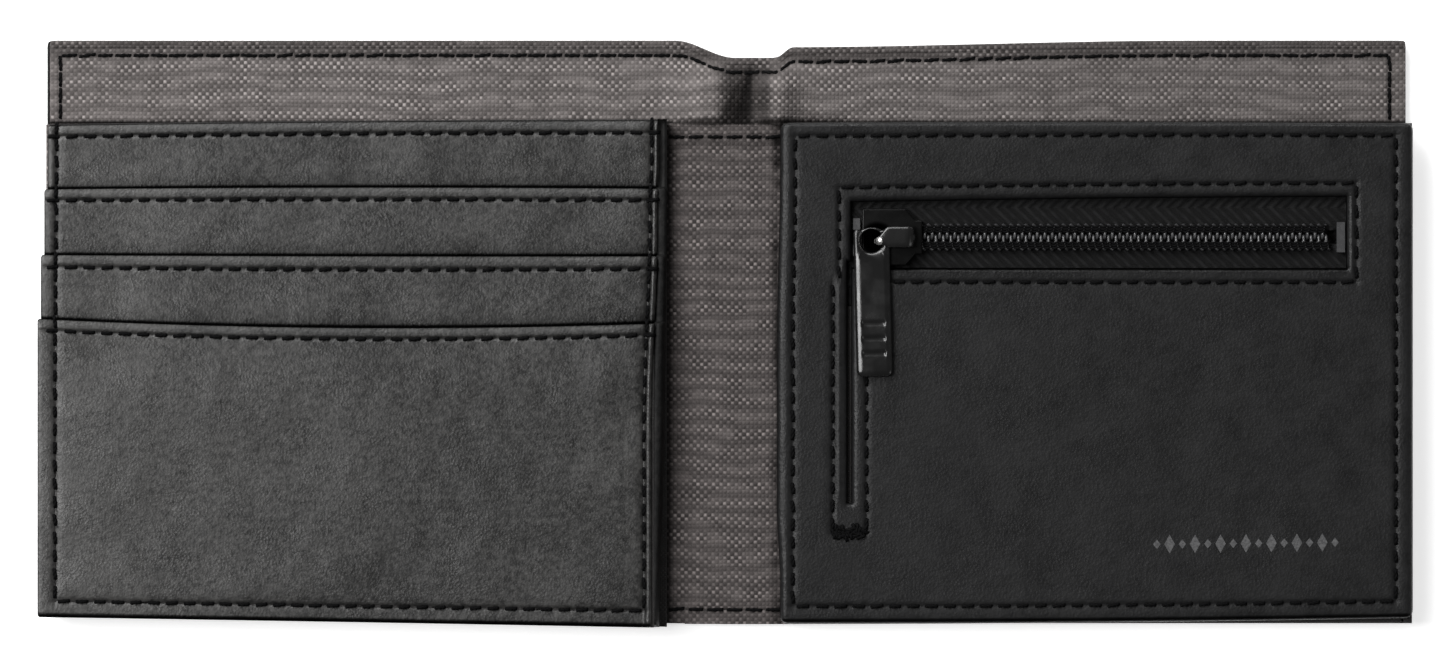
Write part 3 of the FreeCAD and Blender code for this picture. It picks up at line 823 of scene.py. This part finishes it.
card_lie = lie(
    (
        (mouths[0].y, (-0.2, 0.4, 0.6)),
        (mouths[1].y, (0.1, 0.4, 0.2)),
        (mouths[2].y, (0.4, 0.2, 0.2)),
        (mouths[3].y, (0.2, -1.25, -0.5)),
        (card_low.y, (1.7, 0.9, 0.0)),
    ),
    (card_low.x, card_high.x),
)
zip_lie = lie(
    (
        (zip_high.y, (0.1, 0.2, 0.0)),
        (window_y[1], (-0.3, 0.5, 0.8)),
        (window_y[0], (0.1, 0.0, 0.0)),
        (zip_low.y, (0.0, 0.2, 0.9)),
    ),
    (zip_low.x, zip_high.x),
)


def foot_rise(x, y):
    """The shell's foot isn't quite straight. It follows the feet of the two panels."""
    out = np.abs(x) / -cover_low.x
    rise = np.where(x < 0, 1.7 * out, 0.9 * out ** 2)
    return x, y + rise * ramp(y, -12, cover_low.y)


def spine_side_drift(x, y):
    """The zip pocket's spine side leans over the spine a little below its top, and its rim spreads, but
    not at the foot, where the fold in the spine needs the room when the wallet closes."""
    rim = 0.5 * ramp(x, zip_low.x + 1.3, zip_low.x) * ramp(y, -40, -28)
    return x - (rim + 0.5 * ramp(x, 15, zip_low.x) * ramp(y, 25, 0)), y


def dyed_shaded_foot(foot):
    """Black along the edge at the foot of a panel: the cut edge's black dye, and painted shade where the edge
    turns down to the floor.
    """
    return lambda x, y: 0.97 * ramp(y, foot + 0.8, foot + 0.5)


def foot_drift(x, y):
    """The card panel's spine side draws in towards its foot: its seam from half way down, and its rolled
    edge only near the foot."""
    across = np.clip((x - card_low.x) / (card_high.x - card_low.x), 0, 1)
    at_seam = 0.98 * ramp(y, 17, -14) - 0.3 * ramp(y, 20, 28)
    at_edge = 0.3 * ramp(y, 17, -14) + 0.9 * ramp(y, -10, card_low.y)
    share = ramp(x, band_low.x + 0.5, band_high.x)
    return x - across ** 2 * (at_seam * (1 - share) + at_edge * share), y


# The shell

COVER_TURN = (7.6, 8.1)       # where the cover's turned edge ends, in from its outline
INSIDE_TURN = 8.4             # and how far in the foil and the board lie
LINING_REACH = {1: 0.4, -1: -0.5}     # of the lining's outer edge on each side, past that of its CAD node
shell_nodes = ("shell_stitching_left", "spine_stitching", "shell_stitching_right")
COVER_SINK = 0.32         # the outer seam lies below the face that the wallet rests on


def perimeter_rows(side):
    """The seam that shows round the outside of the cover on one half."""
    inset, pitch = 2.0, 2.9
    foot, head = cover_low.y + 3.0, cover_high.y - 2.4
    edge = -cover_low.x - inset
    along = np.arange(0.5, edge / pitch - 0.3) * pitch * side
    down = np.arange(foot + pitch, head - pitch / 2, pitch)
    return [Row(0, foot, along), Row(0, head, along), Row(1, side * edge, down)]


def cover(name, side, body):
    """Outer leather: thick where its edges are turned over, thin over the foil and the stiffener."""
    creases = ripple(31, 14, 0.05)
    sheet = Sheet(
        cover_low, cover_high, x=span(side, 0, -cover_low.x), square=INNER[side],
        roll=0.5, under_roll=0.75, corner=0.8, fine_x=[[side * (-cover_low.x - STEEP_EDGE)]],
        under_rows=perimeter_rows(side),
        top_relief=[lambda x, y, d: -0.6 * ramp(d, *COVER_TURN)],
        under_relief=[lambda x, y, d: np.maximum(creases(x, y), 0) * ramp(d, 0, 6)],
        leans=[mouth_dip, foot_rise],
    )
    piece = sheet.build(f"cover_leather_{name}", COVER_LEATHER, 1.1)
    settle(piece, body, "cover_leather", f"cover_{name}", "cover_spine", bend=BEND_REACH)
    sew(f"cover_stitching_{name}", [(sheet, sheet.under_rows)], body, bend=BEND_REACH, face="under",
        sink=COVER_SINK)


def lining(name, side, body):
    """Lining of the banknote compartment, sewn to the cover along the mouth."""
    along, down = rows_of(shell_nodes, lining_high.z, span(side, 0, lining_high.x))
    across = even_row(0, along.across, *span(side, 0, abs(down.across)))
    wave = ripple(7, 18, 0.06)
    hem = np.array([1.0, 1.12, 1.25])         # from the mouth down to where the hem ends
    sheet = Sheet(
        lining_low, lining_high, x=span(side, 0, lining_high.x + LINING_REACH[side]), square=INNER[side],
        roll=0.25, corner=0.6, groove_depth=0.14,
        rows=[across, even_row(1, down.across, down.centres[0] - down.pitch / 2, along.across)],
        # painted shade at the spine's crease and along the mouth, and a darker hem along the mouth
        shades=[spine_shade, lambda x, y: 0.3 * ramp(y, 44.2, 45.6)],
        lifts=[spine_pinch, lambda x, y: np.maximum(wave(x, y), 0) * ramp(y, 34, 37)],
        top_relief=[lambda x, y, d: 0.16 * (1 - ramp(lining_high.y - y, hem[0], hem[-1]))],
        fine_x=[side * np.arange(0, 14, 0.35)],
        fine_y=[lining_high.y - hem, np.arange(33, 46, 0.4)],
        leans=[mouth_dip, foot_rise],
    )
    piece = sheet.build(f"lining_cloth_{name}", LINING_CLOTH, 1.2)
    settle(piece, body, "lining_textile", f"lining_{name}", "lining_spine", bend=BEND_REACH)
    sew(f"mouth_stitching_{name}", [(sheet, sheet.rows)], body, f"shell_stitching_{name}",
        "spine_stitching", bend=BEND_REACH, size=LONG_STITCH, sink=CLOTH_SINK)


def divider(name, side, body):
    """Front wall of the banknote compartment, hemmed along its top."""
    hems = rows_of(("spine_stitching",), divider_high.z)
    sag = ripple(5, 9, 0.05)
    ragged_shadow = ripple(17, 2.5, 0.4)
    # painted shadow that the panel beside it casts on the divider: dark under the card panel, and with a
    # ragged edge under the zip pocket
    panel_shadow = {
        -1: lambda x, y: 0.78 * ramp(x, -8.0, -9.4),
        1: lambda x, y: (0.45 + ragged_shadow(x, y)) * ramp(x, 7.0, 8.4),
    }
    hem = np.array([3.1, 2.95, 2.8])          # from the top down to where the hem ends
    sheet = Sheet(
        divider_low, divider_high, x=span(side, 0, -divider_low.x), square=INNER[side],
        roll=0.2, groove_depth=0.14, seam_shade=0.9,
        rows=[even_row(0, lowered(row).across, *span(side, 0, -card_high.x)) for row in hems],
        shades=[panel_shadow[side]],
        lifts=[lambda x, y: sag(x, y) * ramp(np.abs(x), 9, 5)],
        top_relief=[lambda x, y, d: 0.14 * ramp(y, divider_high.y - hem[0], divider_high.y - hem[-1])],
        fine_x=[side * np.arange(0, 12, 0.5)],
        fine_y=[divider_high.y - hem],
        leans=[foot_rise],
    )
    piece = sheet.build(f"divider_cloth_{name}", SHADED_SPINE_CLOTH, 1.6)
    settle(piece, body, "lining_textile", f"divider_{name}", "divider_spine", bend=DIVIDER_BEND_REACH)
    sew(f"divider_stitching_{name}", [(sheet, sheet.rows)], body, bend=DIVIDER_BEND_REACH,
        size=LONG_STITCH, sink=CLOTH_SINK)


SEAM_DROP = 0.7           # the seams at the foot of the card panel and of the spine lie this much lower


def lowered(row):
    """A seam, moved down if it's the one at the foot."""
    at_foot = row.axis == 0 and row.across < -40
    return Row(0, row.across - SEAM_DROP, row.centres) if at_foot else row


def flat_sheet(name, node, body, look=BACKING, step=2.5, **settings):
    """A plain inner layer in the place of its CAD solid, and its flat size. look is its material and slot."""
    low, high = box(node)
    roll = (high.z - low.z) / 2
    sheet = Sheet(low, high, roll=roll, under_roll=roll, **settings)
    piece = settle(sheet.build(name, look[0], step), body, look[1], node)
    return piece, (round((sheet.x[1] - sheet.x[0]) * MM, 5), round((high.y - low.y) * MM, 5))


def folded_edges(name, node, body, look=BACKING, **settings):
    """Narrow folded strips that close a pocket: one rounded strip for each solid of the CAD node."""
    strips = []
    for low, high in solids_of(node):
        roll = min(0.35, (high[2] - low[2]) / 2)
        strips.append(Sheet(low, high, roll=roll, under_roll=roll, **settings).build(name, look[0], 4))
    with bpy.context.temp_override(active_object=strips[0], selected_editable_objects=strips):
        bpy.ops.object.join()
    strips[0].name = name
    return settle(strips[0], body, look[1], node)


def shell():
    foil, board = (FOIL, "blocking_foil"), (BOARD, "stiffener")
    for name, side in SIDES:
        body = f"{name}_half"
        cover(name, side, body)
        lining(name, side, body)
        for pocket in ("bill_pocket", "slip_pocket"):
            folded_edges(f"{pocket}_edges_{name}", f"{pocket}_folds_{name}", body, LINING,
                         leans=(foot_rise,))
        divider(name, side, body)
        inside = span(side, hinge_x + BEND_REACH + 1, -cover_low.x - INSIDE_TURN)
        flat_sheet(f"blocking_sheet_{name}", f"rfid_foil_{name}", body, foil, x=inside)
        flat_sheet(f"stiffener_board_{name}", f"stiffener_{name}", body, board, x=inside)
    middle = (BEND_REACH - hinge_x + 0.4, hinge_x - BEND_REACH - 0.4)
    flat_sheet("blocking_sheet_spine", "rfid_foil_spine", "spine", foil, x=middle)
    flat_sheet("spine_padding", "spine_interlining", "spine", board, x=middle)
    folded_edges("bill_pocket_edge_spine", "bill_pocket_fold_spine", "spine", LINING)


# The card panel

MOUTH_HEM = 5.0
MOUTH_DROP = 0.38         # the turned edge of a mouth rolls down this far, towards the slot behind
MOUTH_ROLL = 1.6
EDGE_FLARE = 0.5          # the stack stands up beside the seam on the spine side
BAND_TUCK = 0.55          # the slots' leather laps this far over the rolled edge beside them
LAP_DROP = 0.35           # and this rolled edge lies that much lower
SLOT_STEP = 0.45          # each layer stands this far out past the one behind it
MOUTH_SAG = 0.32


def card_slot(i, node):
    """One leather strip with a turned mouth that rests on the slot behind it."""
    low, high = box(node)
    start, end = low.x + 0.2 + SLOT_STEP * (3 - i), high.x + BAND_TUCK
    edge_seams = meeting([lowered(row) for row in rows_of(("card_panel_stitching",), high.z)])
    edge_rows = [row.carried_on(row.centres[0], high.y - 0.2) if row.axis else row for row in edge_seams]
    mouth_rows = [row.carried_on(start + 0.5, end - 0.5)
                  for row in rows_of(("card_slot_stitching",), high.z)]
    swell = ripple(11 + i, 21, 0.09)
    pucker = ripple(41 + i, 7, 0.03)

    def lie_down(x, y):
        ends = ramp(x, low.x + 1, low.x + 16) * ramp(x, high.x - 1, high.x - 14)
        return -MOUTH_SAG * ends * ramp(y, high.y - 11, high.y)

    def uneven(x, y, d):
        return ramp(d, 0.5, 5) * (np.minimum(swell(x, y), 0.06) + pucker(x, y)) - 0.06

    def turned(x, y, d):
        rolled = MOUTH_DROP * np.clip(1 - (high.y - y) / MOUTH_ROLL, 0, 1) ** 2
        return EDGE_FLARE * ramp(x, high.x - 1.0, end - 0.4) - rolled

    top_relief = [uneven, turned]
    fine_y = [high.y - np.array([0.15, 0.35, 0.6, 0.85, 1.1, 1.35])]
    if node == "front_pocket":
        shades = [dyed_shaded_foot(low.y)]
        top_relief.append(lambda x, y, d: -0.12 * (1 - ramp(d, 1, 9)))
        lining_name = "front_pocket_lining"
    else:
        contact = mouths[i + 1].y
        # painted shade: a black line where the mouth in front meets this slot, and a soft shadow above it
        shades = [lambda x, y: 1.5 * hump(y, contact + 0.1, 0.33),
                  lambda x, y: 0.28 * ramp(y, contact + 3.2, contact)]
        fine_y.append(contact + np.array([-0.2, 0, 0.12, 0.24, 0.36, 0.5, 0.7]))
        lining_name = f"card_slot_{i + 1}_lining"
    sheet = Sheet(
        low, high, x=(start, end), roll=LEATHER_ROLL, under_roll=0.2, corner=0.5, undyed=("right",),
        rows=mouth_rows + edge_rows, shades=shades, lifts=[lie_down], top_relief=top_relief,
        under_relief=[lambda x, y, d: 0.25 * ramp(high.y - y, MOUTH_HEM - 0.4, MOUTH_HEM)],
        fine_y=fine_y, leans=[card_lie, foot_drift],
    )
    piece = sheet.build(f"{node}_leather", CARD_LEATHER, 0.75)
    settle(piece, "left_half", "card_leather", node)
    leans = (tuck(start - low.x + 0.25), card_lie)
    backing, flat = flat_sheet(f"{node}_backing", lining_name, "left_half", leans=leans, lifts=(lie_down,))
    folded_edges(f"{node}_edges", f"{node}_folds", "left_half", leans=leans)
    return (sheet, mouth_rows), (sheet, edge_rows)


def tuck(inset):
    """Draws the outer edge of the card panel's hidden layers in."""
    return lambda x, y: (x + inset * (1 - ramp(x, card_low.x + 1.8, card_low.x + 12)), y)


def side_band():
    """Rolled leather edge of the card panel on the spine side, stepping up at each mouth."""

    def step_down(x, y, d):
        drops = (upper.z - lower.z for upper, lower in zip(mouths[1:], mouths))
        places = (ramp(y, mouth.y - 0.1, mouth.y + 0.3) for mouth in mouths[1:])
        return -sum(drop * place for drop, place in zip(drops, places)) - LAP_DROP

    sheet = Sheet(
        band_low, band_high, x=(band_low.x + 0.2, band_high.x), roll=0.9, undyed=("left", "right"),
        # painted shade on the band's outer edge, which faces away from the lamps
        shades=[lambda x, y: 0.35 * ramp(x, band_high.x - 0.5, band_high.x - 0.3)],
        top_relief=[step_down],
        fine_y=[mouth.y + np.array([-0.1, 0, 0.1, 0.2, 0.3]) for mouth in mouths],
        leans=[card_lie, foot_drift],
    )
    piece = sheet.build("card_panel_side_roll", SHADED_EDGE_LEATHER, 0.8)
    settle(piece, "left_half", "card_leather", "card_panel_side_edge")


def card_panel():
    back, flat = flat_sheet("card_panel_back_cloth", "card_panel_back", "left_half",
                            leans=(tuck(1.8), card_lie))
    mouth_work, edge_work = zip(*[card_slot(i, node) for i, node in enumerate(SLOTS)])
    side_band()
    sew("slot_mouth_stitching", mouth_work, "left_half", "card_slot_stitching")
    sew("card_panel_rim_stitching", edge_work, "left_half", "card_panel_stitching")


# The zip pocket


def window_shade(x, y):
    """Painted shade on the lower lip of the zip window, which also takes its gloss away."""
    beside = ramp(x, window_x[0] - 0.5, window_x[0]) * ramp(x, window_x[1] + 0.5, window_x[1])
    return 0.9 * hump(y, window_y[0] - 0.1, 0.5) * beside


def zip_face():
    """Leather face of the zip pocket, with its turned edges, the zip window and the slit."""
    seams = ("zip_panel_stitching", "zip_window_stitching", "slit_stitching")
    seam_rows = {node: meeting(rows_of((node,))) for node in seams}
    swell = ripple(23, 24, 0.07)
    pucker = ripple(29, 6, 0.025)

    def uneven(x, y, d):
        return ramp(d, 0.5, 6) * (np.minimum(swell(x, y), 0.05) + pucker(x, y)) - 0.05

    def slit_lip(x, y, d):
        run = ramp(y, slit_y[0] - 1, slit_y[0] + 2) * ramp(y, window_y[0], window_y[0] - 2)
        return 0.2 * hump(x, slit_x[0] - 1.35, 0.5) * run

    sheet = Sheet(
        zip_low, zip_high, roll=0.95, corner=1.3, groove_depth=0.22, seam_shade=0.45,
        holes=((window_x, window_y), (slit_x, (slit_y[0], window_y[0] + 1))),
        rows=sum(seam_rows.values(), []),
        shades=[dyed_shaded_foot(zip_low.y), window_shade],
        top_relief=[uneven, slit_lip],
        under_relief=[lambda x, y, d: 0.8 * ramp(d, 4.0, 4.4)],
        leans=[zip_lie, spine_side_drift],
    )
    piece = sheet.build("zip_pocket_face", ZIP_LEATHER, 0.8)
    settle(piece, "right_half", "zip_leather", "zip_panel")
    for node, rows in seam_rows.items():
        sew(node.replace("zip_panel", "zip_face") + "_thread", [(sheet, rows)], "right_half", node)
    return sheet


DIAMONDS_X = (68, 98.5)
DIAMONDS_Y = -33.9
DIAMONDS = 15
DIAMOND_HALVES = ((0.6, 0.75), (0.85, 1.5))   # half the width and height of a small and of a large one
INK_LIFT = 0.03


def ornament(sheet):
    """A row of small diamonds printed near the foot of the zip pocket."""
    meshes = []
    for i in range(DIAMONDS):
        x, y = DIAMONDS_X[0] + (DIAMONDS_X[1] - DIAMONDS_X[0]) * (i + 0.5) / DIAMONDS, DIAMONDS_Y
        half_x, half_y = DIAMOND_HALVES[i % 2]
        flat = np.array([(x - half_x, y), (x, y - half_y), (x + half_x, y), (x, y + half_y), (x, y)])
        top, _ = sheet.heights(*flat.T)
        place = np.stack(sheet.placed(*flat.T), -1)
        over = np.column_stack([place, top + INK_LIFT])
        under = np.column_stack([place, top - INK_LIFT])
        faces = [[0, 1, 4], [1, 2, 4], [2, 3, 4], [3, 0, 4], [8, 7, 6, 5]]
        faces += [[k + 5, (k + 1) % 4 + 5, (k + 1) % 4, k] for k in range(4)]
        meshes.append((np.concatenate([over, under[:4]]), faces))
    piece = joined("printed_diamonds", meshes, INK)
    piece.data.polygons.foreach_set("use_smooth", [False] * len(piece.data.polygons))
    settle(piece, "right_half", "zip_leather")


COIL_R = 0.23
SEWING_R = 0.2
SEWING_LINES = (1.25, 1.65, 2.05)     # from the teeth's heads over the tape
SEWING_SWAY = 0.1


def coil(name):
    """One row of the coil: a single filament that loops out over the edge of its tape at every tooth, and
    the lines of thread that hold it down on the tape."""
    side = 1 if name == "upper" else -1
    filament, sewing = [], [[] for _ in SEWING_LINES]
    for low, high in solids_of(f"zip_teeth_{name}"):
        x, top = (low[0] + high[0]) / 2, high[2]
        head, back = (low[1], high[1]) if side > 0 else (high[1], low[1])
        z0, z1 = low[2] + COIL_R, top - COIL_R
        middle = (z0 + z1) / 2
        tip = head + side * COIL_R
        filament += [
            (x - 0.25, back, z0 + 0.1), (x - 0.06, (head + back) / 2, z0),
            (x, tip + side * 0.2, z0), (x, tip, (z0 + middle) / 2), (x, tip - side * 0.1, middle),
            (x, tip, (z1 + middle) / 2), (x, tip + side * 0.2, z1),
            (x + 0.06, (head + back) / 2, z1), (x + 0.25, back, z1 - 0.1),
            (x + 0.6, back + side * 0.3, middle),
        ]
        for line, reach in zip(sewing, SEWING_LINES):
            y = head + side * reach
            line += [
                (x - 0.3, y - SEWING_SWAY, top - 0.28), (x, y, top + 0.02),
                (x + 0.3, y + SEWING_SWAY, top - 0.28), (x + 0.6, y, top - 0.4),
            ]
    piece = joined(f"zip_coil_{name}", [tube(filament, COIL_R, 8)], NYLON)
    settle(piece, "right_half", "zip_coil", f"zip_teeth_{name}")
    threads = joined(f"zip_coil_sewing_{name}", [tube(line, SEWING_R, 6) for line in sewing], THREAD)
    settle(threads, "right_half", "thread")


BARTACK_STEP = 0.22
BARTACK_END = 1.2             # past the last stitch of the seam, on both sides


def bartack(sheet):
    """Dense zigzag stitching that closes the foot of the slit's seam."""
    draw = np.random.default_rng(61)
    seams = rows_of(("slit_stitching",))
    foot = next(row for row in seams if row.axis == 0)
    left, right = foot.centres[0] - BARTACK_END, foot.centres[-1] + BARTACK_END
    plies = []
    for x in np.arange(left, right, BARTACK_STEP):
        y = foot.across + draw.uniform(-0.65, 0.65)
        plies += stitch(sheet, x, y, draw.integers(0, 2), "top", draw.uniform(1.2, 2.2),
                        draw.uniform(-0.7, 0.7), 0)
    settle(joined("slit_bartack_thread", plies, THREAD), "right_half", "thread")


def superellipse(half_width, half_height, count=20, power=3.2):
    """Section of a bar with well rounded edges, as (across, up) pairs."""
    turns = np.arange(count) * 2 * math.pi / count
    across, up = np.cos(turns), np.sin(turns)
    across = np.sign(across) * np.abs(across) ** (2 / power) * half_width
    up = np.sign(up) * np.abs(up) ** (2 / power) * half_height
    return np.stack([across, up], -1)


def crown():
    """Bridge over the slider: metal bent down at both ends, narrow where the puller hangs."""
    low, high = box("zip_slider_crown")
    half, leg_half = 0.55, 0.42       # the leg is slim enough for the eye to turn round it
    bend = 0.8
    top = high.z - half
    front, rear = low.x + half + 0.1, high.x - half
    turns = np.linspace(0, math.pi / 2, 7)
    path = [(front, z) for z in np.linspace(low.z, top - bend, 4)]
    path += [(front + bend * (1 - math.cos(a)), top - bend * (1 - math.sin(a))) for a in turns[1:]]
    path += [(x, top) for x in np.linspace(front + bend, rear - bend, 10)[1:]]
    path += [(rear - bend * (1 - math.sin(a)), top - bend * (1 - math.cos(a))) for a in turns[1:]]
    path += [(rear, z) for z in np.linspace(top - bend, low.z, 4)[1:]]
    path = np.array(path)
    ahead = np.gradient(path, axis=0)
    ahead /= np.linalg.norm(ahead, axis=1)[:, None]
    rings = []
    for (x, z), (dx, dz) in zip(path, ahead):
        girth = ramp(x, front, front + 0.35)
        width = leg_half + 0.23 * girth
        width += (high.y - low.y - 1.3) / 2 * ramp(x, front + 0.2, front + 1.9)
        centre_y = crown_leg[1] + (chain_y - crown_leg[1]) * ramp(x, front, front + 1.5)
        section = superellipse(width, leg_half + (half - leg_half) * girth)
        ring_x, ring_z = x - dz * section[:, 1], z + dx * section[:, 1]
        rings.append(np.stack([ring_x, centre_y + section[:, 0], ring_z], -1))
    faces = [face[::-1] for face in tube_faces(len(rings), len(rings[0]))]
    piece = joined("slider_crown_bridge", [(np.concatenate(rings), faces)], WORN_ENAMEL)
    settle(piece, "zip_slider", "zip_metal", "zip_slider_crown")


EYE = (23.4, 14.8)
EYE_R = 1.85
PULLER_LEAN = math.radians(1.4)


def round_eye(x, y):
    """Turns the square hole of the puller's sheet into a round eye."""
    u, v = x - EYE[0], y - EYE[1]
    square = np.maximum(np.maximum(np.abs(u), np.abs(v)), 1e-9)
    share = ramp(square, 1.5 * EYE_R, EYE_R)
    scale = 1 - share + share * square / np.maximum(np.hypot(u, v), 1e-9)
    return EYE[0] + u * scale, EYE[1] + v * scale


def hang(x, y):
    """Turns the puller about the crown's leg by the little that it hangs off straight."""
    u, v = x - pivot[0], y - pivot[1]
    c, s = math.cos(PULLER_LEAN), math.sin(PULLER_LEAN)
    return pivot[0] + c * u - s * v, pivot[1] + s * u + c * v


TAB_X = (20.5, 26.3)
TAB_Y = (-6.9, 17.0)
GRIPS = (-3.2, -0.8, 1.6)     # Y of the grip grooves


def puller():
    """Flat pull tab with a round eye, pillowed edges and three grip grooves."""
    low, high = box("zip_puller")
    middle = sum(TAB_X) / 2

    def groove(px, py, d):
        cut = sum(hump(py, grip, 0.4) for grip in GRIPS)
        return -0.22 * cut * ramp(np.abs(px - middle), 2.0, 1.6)

    sheet = Sheet(
        low, high, x=TAB_X, y=TAB_Y, roll=1.15, corner=1.1,
        holes=(tuple((centre - EYE_R, centre + EYE_R) for centre in EYE),),
        top_relief=[groove],
        fine_y=[grip + np.linspace(-1, 1, 11) for grip in GRIPS],
        leans=[round_eye, hang],
    )
    piece = sheet.build("zip_puller_tab", ENAMEL, 0.3)
    settle(piece, "zip_puller", "zip_metal", "zip_puller")


def finish_cad_node(node, material):
    """Gives a CAD node that keeps its shape a material of its own."""
    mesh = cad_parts[node].data
    if not mesh.materials:
        mesh.materials.append(material)
    for material_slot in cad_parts[node].material_slots:
        material_slot.material = material


def zip_pocket():
    back, flat = flat_sheet("zip_pocket_back_cloth", "zip_pocket_back", "right_half")
    folded_edges("zip_pocket_edges", "zip_pocket_folds", "right_half")
    facing, flat = flat_sheet("slit_facing_cloth", "slit_facing", "right_half")
    flat[0] + 2 * FACING_TURN * MM
    for name in ("upper", "lower"):
        tape, flat = flat_sheet(f"zip_tape_cloth_{name}", f"zip_tape_{name}", "right_half",
                                (TAPE_CLOTH, "zip_tape"), 1.2)
    for name in ("upper", "lower"):
        coil(name)
    for node in ("zip_top_stops", "zip_bottom_stop"):
        finish_cad_node(node, NYLON_STOPS)
    finish_cad_node("zip_slider_body", EYE_SHADOW_ENAMEL)
    crown()
    puller()
    face = zip_face()
    ornament(face)
    bartack(face)


# Floor, light and camera

VIEW_WIDTH = 230.4 * MM
VIEW_CENTRE = (-0.8 * MM, 0.88 * MM)
CAMERA_HEIGHT = 1.6
FOCUS_Z = 6 * MM
SENSOR = 36.0


def area_light(name, place, size, power, colour=(1, 1, 1)):
    data = bpy.data.lights.new(name, "AREA")
    data.shape = "RECTANGLE"
    data.size, data.size_y = size
    data.energy = power
    data.color = colour
    light = bpy.data.objects.new(name, data)
    light.location = place
    light.rotation_euler = (-Vector(place)).to_track_quat("-Z", "Y").to_euler()
    bpy.context.scene.collection.objects.link(light)


def studio():
    floor = Shader("pale_floor", (0.95, 0.95, 0.95), 0.7, 0.2, on_cad=True)
    floor.colour(floor.mapped(floor.noise(60.0), 0.3, 0.7), (0.93, 0.93, 0.93), (0.97, 0.97, 0.97))
    floor.set(emission_color=(1, 1, 1), emission_strength=0.6)
    half, z = 1500, -0.05
    corners = [(-half, -half, z), (half, -half, z), (half, half, z), (-half, half, z)]
    make_object("floor", corners, [[0, 1, 2, 3]], floor.material)
    area_light("key", (-0.9, 1.0, 1.2), (1.0, 0.8), 20)
    area_light("rim", (-0.3, 1.4, 0.9), (1.4, 0.5), 12)
    area_light("sheen", (-0.8, 0.1, 1.35), (0.4, 0.95), 11)
    area_light("fill", (1.2, -0.6, 0.9), (0.8, 0.8), 2)
    world = bpy.data.worlds.new("studio_air")
    world.use_nodes = True
    air = world.node_tree.nodes["Background"].inputs
    air["Color"].default_value = (1, 1, 1, 1)
    air["Strength"].default_value = 0.1
    bpy.context.scene.world = world
    bpy.context.scene.view_settings.view_transform = "Standard"
    data = bpy.data.cameras.new("camera")
    data.sensor_width = SENSOR
    data.lens = SENSOR * CAMERA_HEIGHT / VIEW_WIDTH
    data.clip_end = 20
    camera = bpy.data.objects.new("camera", data)
    camera.location = (*VIEW_CENTRE, CAMERA_HEIGHT + FOCUS_Z)
    bpy.context.scene.collection.objects.link(camera)
    bpy.context.scene.camera = camera


shell()
card_panel()
zip_pocket()
studio()
